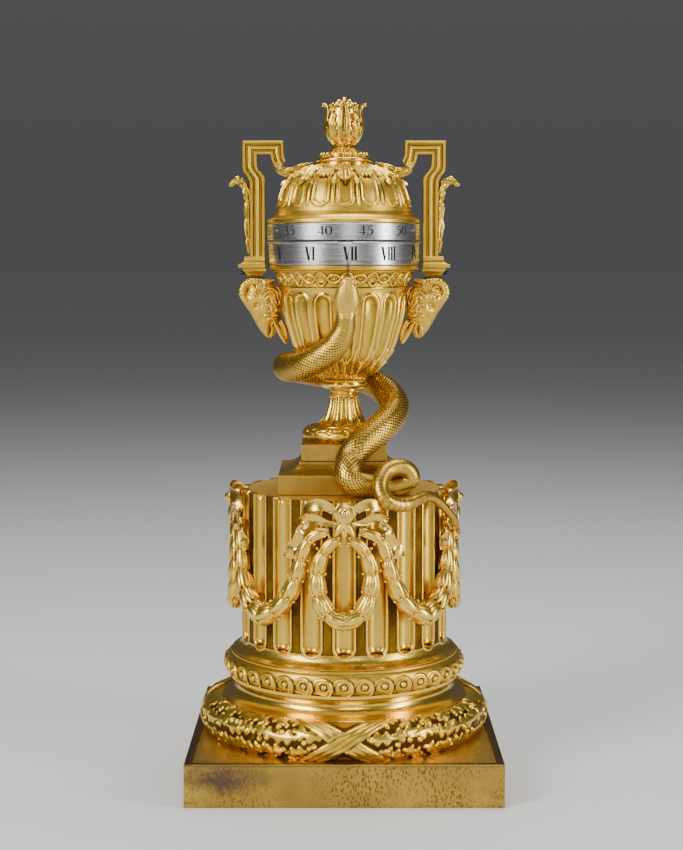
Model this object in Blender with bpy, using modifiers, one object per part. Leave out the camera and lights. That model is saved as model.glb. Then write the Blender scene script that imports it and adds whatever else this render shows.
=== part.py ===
"""An urn clock with two turning dial rings, a serpent pointer and a fluted column.

Lengths are given in millimetres and become metres in the shape helpers. +Z is up,
-Y is the front, and the origin is the middle of the plinth's underside.
"""
import math

import bmesh
import bpy
from mathutils import Matrix, Vector

MM = 0.001
GAP = 0.3

PLINTH_SIDE = 220.0
PLINTH_TOP = 30.0
RECESS = 1.2
RIM_WIDTH = 5.7
TORUS_TOP = 54.0
SCOTIA_TOP = 70.7
WAVE_TOP = 87.7
COLUMN_RADIUS = 75.0
COLUMN_BOTTOM = 97.3
COLUMN_TOP = 206.3
COLUMN_BORE = 62.0
FLUTES = 20
SOCLE_TOP = 241.2
FOOT_TOP = 279.3
BOWL_BOTTOM = 287.2
BOWL_TOP = 354.7
LIP_TOP = 370.5
RING_RADIUS = 56.0
HOUR_RING = (370.8, 387.2)
MINUTE_RING = (388.5, 400.5)
LID_RIM = 400.8
LID_TOP = 442.2
ROD_RADIUS = 2.6
ROD_BORE = 3.2
HANDLE_THICKNESS = 9.4

# The train: teeth, module, and where each arbor stands.
BARREL_TEETH, CENTRE_PINION_TEETH, BARREL_MODULE = 40, 10, 0.66
CENTRE_TEETH, PINION_TEETH, CENTRE_MODULE = 48, 8, 0.5
THIRD_TEETH, THIRD_MODULE = 40, 0.45
CANNON_TEETH, MINUTE_TEETH, MINUTE_MODULE = 8, 24, 0.7
HOUR_TEETH, HOUR_MODULE = 32, 0.56
ESCAPE_TEETH, ESCAPE_RADIUS = 30, 6.5
RATCHET_TEETH = 16
BACKLASH = 0.12
LOWER_PLATE = (321.8, 324.0)
UPPER_PLATE = (345.0, 347.0)
PLATE_RADIUS = 36.0
PILLAR_RADIUS = 33.0


def mesh_distance(wheel_teeth, pinion_teeth, module):
    return (wheel_teeth + pinion_teeth) / 2 * module + BACKLASH


def polar(radius, degrees):
    angle = math.radians(degrees)
    return radius * math.cos(angle), radius * math.sin(angle)


BARREL_AT = polar(mesh_distance(BARREL_TEETH, CENTRE_PINION_TEETH, BARREL_MODULE), 180)
THIRD_AT = polar(mesh_distance(CENTRE_TEETH, PINION_TEETH, CENTRE_MODULE), 60)
MINUTE_AT = polar(mesh_distance(MINUTE_TEETH, CANNON_TEETH, MINUTE_MODULE), 90)
ESCAPE_AT = (THIRD_AT[0] + mesh_distance(THIRD_TEETH, PINION_TEETH, THIRD_MODULE), THIRD_AT[1])
PALLETS_AT = (ESCAPE_AT[0], ESCAPE_AT[1] - 9.2)
BALANCE_AT = (17.0, -13.0)

GILT = ((0.83, 0.56, 0.17), 0.28)
MATT_GILT = ((0.74, 0.50, 0.16), 0.45)
SILVER = ((0.72, 0.72, 0.70), 0.35)
BRASS = ((0.72, 0.55, 0.25), 0.3)
STEEL = ((0.45, 0.46, 0.48), 0.3)
BLUED = ((0.03, 0.04, 0.09), 0.3)


def clear_scene():
    for item in list(bpy.data.objects):
        bpy.data.objects.remove(item, do_unlink=True)


def new_collection(name):
    collection = bpy.data.collections.new(name)
    bpy.context.scene.collection.children.link(collection)
    return collection


def metal(name, finish):
    colour, roughness = finish
    material = bpy.data.materials.new(name)
    material.use_nodes = True
    shader = material.node_tree.nodes["Principled BSDF"]
    shader.inputs["Base Color"].default_value = (*colour, 1.0)
    shader.inputs["Metallic"].default_value = 1.0
    shader.inputs["Roughness"].default_value = roughness
    return material


def add(name, data, finish, collection=None):
    item = bpy.data.objects.new(name, data)
    (collection or PARTS).objects.link(item)
    data.materials.append(metal(name, finish))
    return item


def smooth(item, degrees=35):
    item.data.shade_smooth()
    item.data.set_sharp_from_angle(angle=math.radians(degrees))


def fixed_mesh(item):
    """The object's evaluated shape as a welded mesh, in place of its curve or modifiers."""
    graph = bpy.context.evaluated_depsgraph_get()
    mesh = bpy.data.meshes.new_from_object(item.evaluated_get(graph))
    shape = bmesh.new()
    shape.from_mesh(mesh)
    bmesh.ops.remove_doubles(shape, verts=shape.verts, dist=0.00001)
    shape.to_mesh(mesh)
    shape.free()
    name = item.name
    place = item.matrix_world.copy()
    collection = item.users_collection[0]
    bpy.data.objects.remove(item, do_unlink=True)
    solid = bpy.data.objects.new(name, mesh)
    solid.matrix_world = place
    collection.objects.link(solid)
    return solid


def boolean(item, other, operation):
    """Cuts or joins another closed solid, which is then put away as a hidden cutter."""
    step = item.modifiers.new(operation.lower(), "BOOLEAN")
    step.operation = operation
    step.object = other
    step.solver = "EXACT"
    for collection in list(other.users_collection):
        collection.objects.unlink(other)
    CUTTERS.objects.link(other)
    other.hide_render = True
    other.display_type = "WIRE"
    return item


def turned(name, profile, finish, steps=28, at=(0.0, 0.0)):
    """A profile of (radius, height) swept round Z, listed down its outer side."""
    mesh = bpy.data.meshes.new(name)
    points = [(radius * MM, 0.0, height * MM) for radius, height in profile]
    on_axis = profile[0][0] == 0.0
    last = len(points) - 1
    edges = [(i, i + 1) for i in range(last)] + ([] if on_axis else [(last, 0)])
    mesh.from_pydata(points, edges, [])
    item = add(name, mesh, finish)
    item.location = (at[0] * MM, at[1] * MM, 0.0)
    screw = item.modifiers.new("turn", "SCREW")
    screw.steps = steps
    screw.render_steps = steps
    screw.use_merge_vertices = True
    screw.merge_threshold = 0.00005
    screw.use_smooth_shade = steps > 8
    return item


def box(name, low, high, finish):
    shape = bmesh.new()
    bmesh.ops.create_cube(shape, size=1.0)
    low, high = Vector(low) * MM, Vector(high) * MM
    size = high - low
    bmesh.ops.scale(shape, vec=size, verts=shape.verts)
    bmesh.ops.translate(shape, vec=(low + high) / 2, verts=shape.verts)
    mesh = bpy.data.meshes.new(name)
    shape.to_mesh(mesh)
    shape.free()
    return add(name, mesh, finish)


def rod(name, radius, bottom, top, finish, at=(0.0, 0.0), sides=12):
    shape = bmesh.new()
    bmesh.ops.create_cone(
        shape, cap_ends=True, segments=sides,
        radius1=radius * MM, radius2=radius * MM, depth=(top - bottom) * MM,
    )
    mesh = bpy.data.meshes.new(name)
    shape.to_mesh(mesh)
    shape.free()
    item = add(name, mesh, finish)
    item.location = (at[0] * MM, at[1] * MM, (bottom + top) / 2 * MM)
    return item


def ball(name, centre, radii, finish, tilt=0.0, segments=14, rings=8):
    shape = bmesh.new()
    bmesh.ops.create_uvsphere(shape, u_segments=segments, v_segments=rings, radius=1.0)
    bmesh.ops.scale(shape, vec=Vector(radii) * MM, verts=shape.verts)
    turn = Matrix.Rotation(math.radians(tilt), 3, "Y")
    bmesh.ops.rotate(shape, cent=(0, 0, 0), matrix=turn, verts=shape.verts)
    bmesh.ops.translate(shape, vec=Vector(centre) * MM, verts=shape.verts)
    mesh = bpy.data.meshes.new(name)
    shape.to_mesh(mesh)
    shape.free()
    return add(name, mesh, finish)


def flat(name, outlines, bottom, top, finish, at=(0.0, 0.0), upright=False):
    """Closed outlines in millimetres, filled and given a thickness. Later outlines are holes."""
    curve = bpy.data.curves.new(name, "CURVE")
    curve.dimensions = "2D"
    curve.fill_mode = "BOTH"
    curve.extrude = (top - bottom) / 2 * MM
    for outline in outlines:
        spline = curve.splines.new("POLY")
        spline.points.add(len(outline) - 1)
        for point, (u, v) in zip(spline.points, outline):
            point.co = (u * MM, v * MM, 0.0, 1.0)
        spline.use_cyclic_u = True
    item = add(name, curve, finish)
    if upright:
        item.rotation_euler.x = math.pi / 2
    else:
        item.location = (at[0] * MM, at[1] * MM, (bottom + top) / 2 * MM)
    return item


def circle(radius, count, centre=(0.0, 0.0)):
    step = 360 / count
    ring = (polar(radius, step * i) for i in range(count))
    return [(centre[0] + x, centre[1] + y) for x, y in ring]


def tube(name, points, radii, finish, closed=False, sides=8):
    """A round bar through points, with a radius at each one."""
    curve = bpy.data.curves.new(name, "CURVE")
    curve.dimensions = "3D"
    curve.bevel_depth = MM
    curve.bevel_resolution = (sides - 4) // 2
    curve.use_fill_caps = not closed
    spline = curve.splines.new("POLY")
    spline.points.add(len(points) - 1)
    for point, place, radius in zip(spline.points, points, radii):
        point.co = (*(Vector(place) * MM), 1.0)
        point.radius = radius
    spline.use_cyclic_u = closed
    return add(name, curve, finish)


def spline_through(knots, per_span):
    """Catmull-Rom points through rows of numbers, so that a path keeps its radii."""
    rows = [Vector(row) for row in knots]
    rows = [2 * rows[0] - rows[1], *rows, 2 * rows[-1] - rows[-2]]
    path = []
    for a, b, c, d in zip(rows, rows[1:], rows[2:], rows[3:]):
        for step in range(per_span):
            t = step / per_span
            path.append(
                0.5 * (2 * b + (c - a) * t + (2 * a - 5 * b + 4 * c - d) * t * t
                       + (3 * b - a - 3 * c + d) * t ** 3)
            )
    path.append(rows[-2])
    return path


def toothed(teeth, module, phase=0.0):
    """Pointed teeth: tips and roots in turn, with a tip at the phase angle in degrees."""
    pitch = teeth * module / 2
    outline = []
    for i in range(teeth):
        tip = phase + i * 360 / teeth
        outline.append(polar(pitch + 0.85 * module, tip))
        outline.append(polar(pitch - 1.15 * module, tip + 180 / teeth))
    return outline


def base():
    half = PLINTH_SIDE / 2
    plinth = box("plinth", (-half, -half, 0), (half, half, PLINTH_TOP), GILT)
    inset = half - RIM_WIDTH
    floor = PLINTH_TOP - RECESS
    recess = box("recess_cutter", (-inset, -inset, floor), (inset, inset, 40), GILT)
    boolean(plinth, recess, "DIFFERENCE")
    hollow = half - 9
    under = box("underside_cutter", (-hollow, -hollow, -5), (hollow, hollow, 22), GILT)
    boolean(plinth, under, "DIFFERENCE")
    bottom = floor + GAP
    turned("base_torus", [
        (90.3, TORUS_TOP), (97.5, 53.0), (103.5, 48.5), (105.6, 41.5), (103.5, 34.5),
        (97.0, bottom), (60.0, bottom), (60.0, TORUS_TOP)], GILT)
    turned("base_scotia", [
        (84.0, SCOTIA_TOP), (84.0, 68.5), (80.3, 66.5), (79.0, 63.5), (80.5, 60.0),
        (84.5, 56.8), (90.3, TORUS_TOP + GAP), (60.0, TORUS_TOP + GAP),
        (60.0, SCOTIA_TOP)], GILT)
    low = SCOTIA_TOP + GAP
    turned("wave_torus", [
        (83.5, WAVE_TOP), (83.5, 86.2), (87.0, 84.5), (88.6, 78.5), (87.0, 73.0),
        (84.0, low), (60.0, low), (60.0, WAVE_TOP)], GILT)


def column():
    foot_bottom = WAVE_TOP + GAP
    turned("column_foot", [
        (COLUMN_RADIUS, COLUMN_BOTTOM - GAP), (76.2, 93.5), (78.6, 90.5), (82.5, 88.6),
        (82.5, foot_bottom), (60.0, foot_bottom), (60.0, COLUMN_BOTTOM - GAP)], GILT)
    outline = []
    for flute in range(FLUTES):
        middle = flute * 360 / FLUTES + 90
        for offset, depth in ((-5.0, 0.0), (-3.0, 2.9), (0.0, 4.0), (3.0, 2.9), (5.0, 0.0)):
            outline.append(polar(COLUMN_RADIUS - depth, middle + offset))
    flat("fluted_column", [outline, circle(COLUMN_BORE, 24)],
         COLUMN_BOTTOM, COLUMN_TOP, GILT)
    plate = COLUMN_BORE - 0.8
    turned("column_top_plate", [
        (plate, COLUMN_TOP), (plate, 202.0), (ROD_BORE, 202.0),
        (ROD_BORE, COLUMN_TOP)], MATT_GILT, steps=24)


def on_column(across, height, radius):
    """A point at an arc length across the column's front, wrapped round its axis."""
    angle = across / 80.0
    return radius * math.sin(angle), -radius * math.cos(angle), height


def turned_copy(points, degrees):
    turn = Matrix.Rotation(math.radians(degrees), 3, "Z")
    return [tuple(turn @ Vector(point)) for point in points]


def column_garlands():
    """A bow, an oval wreath and a hanging swag for each quarter of the column."""
    bow = [(-45, 166), (-39, 178), (-31, 190), (-19, 197), (0, 198.5),
           (19, 197), (31, 190), (39, 178), (45, 166)]
    swag = [(12.0, 184.0, 4.0), (17.0, 180.5, 4.6), (21.2, 170.5, 5.0), (23.4, 158.0, 5.6),
            (26.5, 145.5, 6.2), (33.5, 131.0, 7.0), (45.0, 122.0, 7.4)]
    swag += [(90.0 - turn, height, radius) for turn, height, radius in reversed(swag[:-1])]
    for name, quarter in (("front", 0), ("right", 90), ("back", 180), ("left", 270)):
        points = [on_column(u, v, 80.0) for u, v in bow]
        ribbon = tube(f"bow_{name}", turned_copy(points, quarter), [3.2] * len(points), GILT)
        ribbon = fixed_mesh(ribbon)
        button = ball("button", turned_copy([(0, -81.0, 199.2)], quarter)[0],
                      (7.0, 7.0, 7.0), GILT, segments=12, rings=6)
        boolean(ribbon, button, "UNION")
        loop = []
        for step in range(20):
            across, up = polar(1.0, step * 18)
            loop.append(on_column(19.4 * across, 151.5 + 29.0 * up, 81.2))
        tube(f"wreath_{name}", turned_copy(loop, quarter), [5.4] * 20, GILT,
             closed=True, sides=6)
        hung = []
        for angle, height, radius in swag:
            x, y = polar(COLUMN_RADIUS + 0.6 + radius, angle - 90)
            hung.append((x, y, height))
        tube(f"swag_{name}", turned_copy(hung, quarter), [row[2] for row in swag], GILT,
             sides=6)


def socle_and_foot():
    corner = math.sqrt(2)
    low = COLUMN_TOP + GAP
    block = turned("socle_block", [(side * corner, height) for side, height in (
        (32.0, 228.8), (33.4, 226.6), (36.5, 223.6), (41.0, 221.6), (47.3, 220.9),
        (47.3, low), (ROD_BORE, low), (ROD_BORE, 228.8))], GILT, steps=4)
    cap = turned("socle_cap", [
        (30.9 * corner, SOCLE_TOP), (30.9 * corner, 229.1), (ROD_BORE * corner, 229.1),
        (ROD_BORE * corner, SOCLE_TOP)], GILT, steps=4)
    for piece in (block, cap):
        piece.rotation_euler.z = math.radians(45)
    turned("laurel_ring", [
        (20.0, 251.9), (27.0, 250.9), (30.0, 246.7), (27.0, 242.2), (20.0, 241.5),
        (ROD_BORE, 241.5), (ROD_BORE, 251.9)], GILT, steps=28)
    turned("urn_foot", [
        (11.7, FOOT_TOP), (11.7, 278.3), (9.2, 276.8), (10.6, 274.7), (11.7, 266.5),
        (15.0, 256.8), (21.0, 252.9), (24.0, 252.2), (ROD_BORE, 252.2),
        (ROD_BORE, FOOT_TOP)], GILT, steps=28)
    turned("foot_collar", [
        (13.5, 286.9), (16.3, 286.0), (17.5, 283.2), (16.3, 280.4), (13.0, FOOT_TOP + GAP),
        (ROD_BORE, FOOT_TOP + GAP), (ROD_BORE, 286.9)], GILT, steps=28)
    turned("tie_rod", [
        (0.0, 320.8), (5.0, 320.8), (5.0, 317.4), (ROD_RADIUS, 317.4), (ROD_RADIUS, 201.6),
        (6.0, 201.6), (6.0, 197.5), (0.0, 197.5)], STEEL, steps=10)


def urn():
    turned("urn_bowl", [
        (46.5, BOWL_TOP), (45.8, 351.0), (45.2, 347.0), (44.3, 335.4), (41.0, 323.7),
        (37.3, 311.8), (27.5, 298.1), (22.8, 292.6), (13.5, BOWL_BOTTOM),
        (ROD_BORE, BOWL_BOTTOM), (ROD_BORE, 317.0), (34.0, 317.0), (37.2, 321.5),
        (39.5, 335.0), (39.5, BOWL_TOP)], GILT)
    turned("bowl_frieze", [
        (55.4, LIP_TOP), (55.4, 367.0), (51.3, 366.6), (47.2, BOWL_TOP + GAP),
        (42.5, BOWL_TOP + GAP), (42.5, 363.0), (51.5, 368.0), (51.5, LIP_TOP)], GILT)


# A horn from its tip by the bowl, over the head and down to the brow: x, y, z, radius.
HORN = [(51.5, 7.0, 359.6, 0.9), (56.0, 8.2, 358.6, 1.8), (62.0, 8.8, 358.4, 2.6),
        (68.0, 9.0, 358.4, 3.1), (72.5, 9.0, 356.0, 3.4), (74.4, 8.8, 351.5, 3.5),
        (73.0, 8.2, 346.5, 3.1), (70.0, 7.0, 343.0, 2.4)]


def ram_heads():
    """A ram's head on each side: skull, muzzle and two swept horns, under a bracket."""
    for name, side in (("right", 1), ("left", -1)):
        skull = ball(f"ram_head_{name}", (side * 62.0, 0, 343.0), (12.5, 12.0, 16.0),
                     GILT, tilt=side * 18)
        muzzle = ball("muzzle", (side * 56.5, 0, 327.5), (7.5, 7.5, 12.0), GILT,
                      tilt=side * 22, segments=10, rings=6)
        boolean(skull, muzzle, "UNION")
        for hand in (1, -1):
            knots = [(side * x, hand * y, z) for x, y, z, _ in HORN]
            horn = tube("horn", knots, [row[3] for row in HORN], GILT, sides=6)
            boolean(skull, fixed_mesh(horn), "UNION")
        low, high = sorted((side * 57.0, side * 74.0))
        bracket = box(f"bracket_{name}", (low, -8.0, 364.0), (high, 8.0, 368.1), GILT)
        low, high = sorted((side * 60.0, side * 71.0))
        boolean(bracket, box("bracket_neck", (low, -6.0, 362.6), (high, 6.0, 365.0), GILT),
                "UNION")


def serpent():
    """The body from its nose down round the foot, in a loop on the column, to its tail."""
    knots = [
        (2.8, -58.5, 363.0, 2.2), (2.6, -58.2, 359.0, 5.0), (2.2, -57.2, 351.0, 7.0),
        (1.5, -55.0, 342.0, 6.5), (1.0, -53.2, 334.0, 7.0), (0.0, -51.4, 327.0, 7.8),
        (-3.0, -50.0, 319.0, 8.5), (-8.0, -48.5, 312.0, 9.0), (-17.0, -45.0, 305.0, 9.4),
        (-28.0, -37.0, 299.0, 9.6), (-38.0, -22.0, 296.0, 9.8), (-42.0, -2.0, 295.5, 10.0),
        (-38.0, 16.0, 293.5, 10.0), (-24.0, 29.0, 290.0, 10.0), (-4.0, 34.0, 286.5, 10.0),
        (14.0, 29.5, 284.5, 10.0), (26.0, 18.0, 280.0, 10.1), (34.0, 4.0, 273.5, 10.2),
        (37.0, -8.5, 267.5, 10.2), (34.5, -20.0, 261.0, 10.3), (28.0, -31.8, 254.6, 10.3),
        (19.5, -40.2, 248.4, 10.3), (10.5, -46.6, 241.2, 10.2), (4.5, -50.0, 233.0, 10.0),
        (3.0, -56.3, 226.5, 9.8), (4.0, -60.0, 220.8, 9.4), (9.0, -61.5, 216.6, 9.0),
        (17.0, -60.5, 215.4, 8.0), (27.0, -58.0, 214.3, 7.0), (38.0, -56.0, 214.6, 6.6),
        (47.0, -56.3, 219.5, 6.3), (44.5, -58.0, 226.0, 6.1), (37.5, -60.5, 228.4, 5.9),
        (30.0, -64.5, 226.3, 5.8), (25.8, -70.5, 220.0, 5.7), (25.5, -74.5, 213.5, 5.5),
        (29.5, -77.2, 207.0, 5.3), (37.0, -74.5, 203.8, 5.0), (45.0, -69.6, 203.6, 4.6),
        (52.5, -62.8, 206.0, 4.0), (59.0, -56.2, 207.2, 3.7), (66.0, -49.0, 203.5, 3.3),
        (73.5, -42.5, 195.5, 2.9), (79.5, -35.5, 186.5, 2.5), (83.5, -26.0, 176.5, 1.4),
    ]
    path = spline_through(knots, 2)
    tube("serpent", [row[:3] for row in path], [row[3] for row in path], GILT)
    rod("pointer", 0.5, 363.6, 372.0, BLUED, at=(2.8, -58.6), sides=6)


def dial_rings():
    low, high = HOUR_RING
    inside = RING_RADIUS - 2.6
    turned("hour_ring", [
        (RING_RADIUS + 0.9, high), (RING_RADIUS + 0.9, high - 1.0), (RING_RADIUS, high - 1.4),
        (RING_RADIUS, low), (inside, low), (inside, high)], SILVER, steps=48)
    spider("hour_spider", inside - GAP, 4.2, low + 2.2)
    low, high = MINUTE_RING
    turned("minute_ring", [
        (RING_RADIUS + 0.5, high), (RING_RADIUS + 0.5, low), (inside, low),
        (inside, high)], SILVER, steps=48)
    spider("minute_spider", inside - GAP, 1.7, low + 2.0)


def spider(name, radius, bore, bottom):
    """A disc with a hub hole and three windows, which carries a dial ring."""
    outlines = [circle(radius, 36), circle(bore, 10)]
    for window in range(3):
        middle = window * 120 + 30
        inner = [polar(14.0, middle + turn) for turn in (30, 0, -30)]
        outer = [polar(45.0, middle + turn) for turn in (-48, -24, 0, 24, 48)]
        outlines.append(outer + inner)
    flat(name, outlines, bottom, bottom + 1.2, BRASS)


def motion_work():
    pipe = 2.6
    bottom = UPPER_PLATE[1] + 0.6
    arbor = 1.3
    turned("centre_arbor", [
        (0.0, 396.0), (arbor, 396.0), (arbor, 324.8), (2.4, 324.8), (2.4, 324.3), (0.0, 324.3)],
        STEEL, steps=10)
    flat("centre_pinion",
         [toothed(CENTRE_PINION_TEETH, BARREL_MODULE), circle(arbor + GAP, 8)],
         329.0, 335.5, STEEL)
    flat("centre_wheel", [toothed(CENTRE_TEETH, CENTRE_MODULE), circle(arbor + GAP, 8)],
         326.4, 327.6, BRASS)
    cannon = flat("cannon_pinion",
                  [toothed(CANNON_TEETH, MINUTE_MODULE), circle(arbor + GAP, 8)],
                  bottom, bottom + 4.0, STEEL)
    cannon = fixed_mesh(cannon)
    sleeve = turned("sleeve", [
        (2.1, 390.0), (2.1, bottom + 3.0), (arbor + GAP, bottom + 3.0),
        (arbor + GAP, 390.0)], STEEL, steps=8)
    boolean(cannon, sleeve, "UNION")
    wheel = flat("minute_wheel",
                 [toothed(MINUTE_TEETH, MINUTE_MODULE, 270 + 180 / MINUTE_TEETH), circle(1.2, 8)],
                 bottom + 1.2, bottom + 2.6, BRASS, at=MINUTE_AT)
    wheel = fixed_mesh(wheel)
    pinion = flat("minute_pinion",
                  [toothed(CANNON_TEETH, HOUR_MODULE, 270), circle(1.2, 8)],
                  bottom + 2.3, bottom + 8.0, BRASS, at=MINUTE_AT)
    boolean(wheel, fixed_mesh(pinion), "UNION")
    hour = flat("hour_wheel",
                [toothed(HOUR_TEETH, HOUR_MODULE, 90 + 180 / HOUR_TEETH), circle(pipe, 12)],
                bottom + 5.2, bottom + 6.6, BRASS)
    hour = fixed_mesh(hour)
    tube_piece = turned("hour_pipe", [
        (3.8, 376.5), (3.8, bottom + 6.0), (pipe, bottom + 6.0), (pipe, 376.5)], BRASS, steps=12)
    boolean(hour, tube_piece, "UNION")


def movement():
    """Barrel, train, escapement and balance between two round plates in the bowl."""
    bottom, top = LOWER_PLATE
    lower = fixed_mesh(flat("lower_plate", [circle(PLATE_RADIUS, 32)], bottom, top, BRASS))
    for angle in (90, 210, 330):
        pillar = rod("pillar", 2.0, top - 0.5, UPPER_PLATE[0] - GAP, BRASS,
                     at=polar(PILLAR_RADIUS, angle), sides=8)
        boolean(lower, pillar, "UNION")
    holes = [circle(1.7, 8), circle(2.0, 8, BARREL_AT), circle(1.4, 8, BALANCE_AT)]
    upper = flat("upper_plate", [circle(PLATE_RADIUS, 32), *holes], *UPPER_PLATE, BRASS)
    upper = fixed_mesh(upper)
    boolean(upper, rod("minute_stud", 0.8, UPPER_PLATE[0] + 0.5, 356.5, BRASS,
                       at=MINUTE_AT, sides=8), "UNION")
    drum = flat("barrel", [toothed(BARREL_TEETH, BARREL_MODULE, 180 / BARREL_TEETH),
                           circle(11.4, 16)], 330.5, 332.5, BRASS, at=BARREL_AT)
    drum = fixed_mesh(drum)
    cup = turned("drum", [
        (12.0, 338.0), (12.0, 329.0), (1.9, 329.0), (1.9, 330.0), (11.2, 330.0),
        (11.2, 338.0)], BRASS, steps=20, at=BARREL_AT)
    boolean(drum, cup, "UNION")
    mainspring()
    rod("barrel_arbor", 1.6, top + GAP, 359.0, STEEL, at=BARREL_AT)
    flat("ratchet_wheel", [toothed(RATCHET_TEETH, 0.72), circle(1.9, 10)],
         348.0, 349.2, STEEL, at=BARREL_AT)
    pinion("third_pinion", THIRD_AT, 325.0, 329.5, CENTRE_MODULE, 240 + 180 / PINION_TEETH)
    flat("third_wheel", [toothed(THIRD_TEETH, THIRD_MODULE), circle(1.3, 8)],
         333.0, 334.2, BRASS, at=THIRD_AT)
    pinion("escape_pinion", ESCAPE_AT, 331.0, 336.5, THIRD_MODULE, 180 + 180 / PINION_TEETH)
    teeth = []
    for tooth in range(ESCAPE_TEETH):
        turn = tooth * 360 / ESCAPE_TEETH
        teeth += [polar(ESCAPE_RADIUS, turn), polar(ESCAPE_RADIUS - 1.3, turn + 4)]
    flat("escape_wheel", [teeth, circle(1.3, 8)], 341.0, 342.0, BRASS, at=ESCAPE_AT)
    balance()


def pinion(name, at, low, high, module, phase):
    """A pinion cut on its own arbor, which runs between the two plates."""
    leaves = fixed_mesh(flat(name, [toothed(PINION_TEETH, module, phase)],
                             low, high, STEEL, at=at))
    arbor = rod("arbor", 1.0, LOWER_PLATE[1] + GAP, UPPER_PLATE[0] - GAP, STEEL, at=at, sides=8)
    boolean(leaves, arbor, "UNION")


def mainspring():
    """A flat spiral strip of four and a half turns, wound between the arbor and the drum."""
    turns, per_turn = 4.5, 12
    count = int(turns * per_turn)
    curve = bpy.data.curves.new("mainspring", "CURVE")
    curve.dimensions = "3D"
    curve.extrude = 2.7 * MM
    spline = curve.splines.new("POLY")
    spline.points.add(count - 1)
    for i, point in enumerate(spline.points):
        x, y = polar(3.0 + 7.4 * i / count, i * 360 / per_turn)
        point.co = (x * MM, y * MM, 0.0, 1.0)
    item = add("mainspring", curve, STEEL)
    item.location = (BARREL_AT[0] * MM, BARREL_AT[1] * MM, 334.0 * MM)
    strip = item.modifiers.new("thickness", "SOLIDIFY")
    strip.thickness = 0.5 * MM
    strip.offset = 0.0


def balance():
    anchor = [(-7.2, 5.6), (-6.15, 6.2), (-4.7, 3.8), (-1.2, 1.6), (1.2, 1.6), (4.7, 3.8),
              (6.15, 6.2), (7.2, 5.6), (5.2, 2.2), (1.4, -1.6), (0.5, -13.0), (-0.5, -13.0),
              (-1.4, -1.6), (-5.2, 2.2)]
    pallets = fixed_mesh(flat("pallets", [anchor], 341.0, 342.0, STEEL, at=PALLETS_AT))
    boolean(pallets, rod("arbor", 0.9, LOWER_PLATE[1] + GAP, UPPER_PLATE[0] - GAP, STEEL,
                         at=PALLETS_AT, sides=8), "UNION")
    height = UPPER_PLATE[1] + 3.0
    rim = turned("balance", [
        (9.0, height + 1.2), (9.0, height), (7.8, height), (7.8, height + 1.2)],
        BRASS, steps=20, at=BALANCE_AT)
    x, y = BALANCE_AT
    spoke = box("spoke", (x - 8.3, y - 0.7, height + 0.2), (x + 8.3, y + 0.7, height + 1.0), BRASS)
    boolean(rim, spoke, "UNION")
    staff = rod("staff", 0.9, LOWER_PLATE[1] + GAP, height + 4.0, STEEL, at=BALANCE_AT, sides=8)
    boolean(rim, staff, "UNION")


def cover():
    """The lid, its finial and the two handles that carry it, lifted off as one."""
    turned("lid", [
        (21.0, LID_TOP), (31.0, 439.4), (38.8, 434.3), (41.9, 431.2), (45.9, 423.6),
        (47.8, 416.7), (49.5, 409.0), (52.0, 406.0), (56.2, 404.0), (56.2, LID_RIM),
        (52.6, LID_RIM), (46.2, 408.0), (44.5, 416.0), (42.5, 422.6), (38.5, 429.0),
        (28.5, 436.2), (20.0, 438.8), (ROD_BORE, 438.8), (ROD_BORE, LID_TOP)], GILT)
    turned("finial", [
        (0.0, 493.3), (6.5, 491.6), (11.5, 487.8), (13.2, 484.0), (14.3, 473.0),
        (12.5, 465.0), (7.3, 459.2), (7.5, 458.2), (12.5, 453.2), (17.2, 452.4),
        (17.2, 450.0), (16.5, 449.0), (21.1, 448.2), (21.1, 445.8), (20.0, 445.2),
        (20.0, LID_TOP + GAP), (2.5, LID_TOP + GAP), (2.5, 435.0), (0.0, 435.0)],
        GILT, steps=20)
    bar = [
        (58.0, 374.0), (69.0, 374.0), (69.0, 381.0), (71.6, 387.0), (72.7, 400.0),
        (72.6, 418.0), (74.2, 427.0), (77.3, 430.6), (80.4, 429.9), (82.4, 427.8),
        (84.0, 429.6), (81.4, 433.2), (77.2, 434.2), (73.6, 432.6), (71.6, 435.5),
        (74.3, 440.5), (74.3, 461.0), (44.6, 461.0), (44.6, 452.0), (43.0, 445.6),
        (38.0, 444.0), (30.0, 446.3), (22.5, 446.4), (22.5, 443.8), (31.0, 440.4),
        (36.2, 437.2), (40.0, 434.7), (44.0, 434.5), (48.4, 437.2), (51.6, 443.0),
        (53.8, 451.3), (64.0, 451.3), (64.0, 440.0), (58.0, 433.0)]
    half = HANDLE_THICKNESS / 2
    for name, side in (("right", 1), ("left", -1)):
        outline = [(side * x, z) for x, z in bar]
        handle = fixed_mesh(flat(f"handle_{name}", [outline], -half, half, GILT, upright=True))
        low, high = sorted((side * 57.6, side * 77.4))
        boolean(handle, box("pad", (low, -9.0, 368.4), (high, 9.0, 371.2), GILT), "UNION")
        low, high = sorted((side * 57.9, side * 72.5))
        boolean(handle, box("pad_top", (low, -6.6, 370.8), (high, 6.6, 376.7), GILT), "UNION")


clear_scene()
PARTS = new_collection("urn_clock")
CUTTERS = new_collection("cutters")
base()
column()
column_garlands()
socle_and_foot()
urn()
ram_heads()
serpent()
dial_rings()
motion_work()
movement()
cover()
for part in PARTS.objects:
    if part.type == "MESH":
        smooth(part)
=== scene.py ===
"""Looks for an urn clock: gilt bronze, silvered dial rings and a blued pointer around the fixed frame.

Shapes are worked out in millimetres as whole numpy arrays, and become metres when a mesh is made.
Angles run round the axis from the front (-Y) towards the right (+X).
"""
import math

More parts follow.
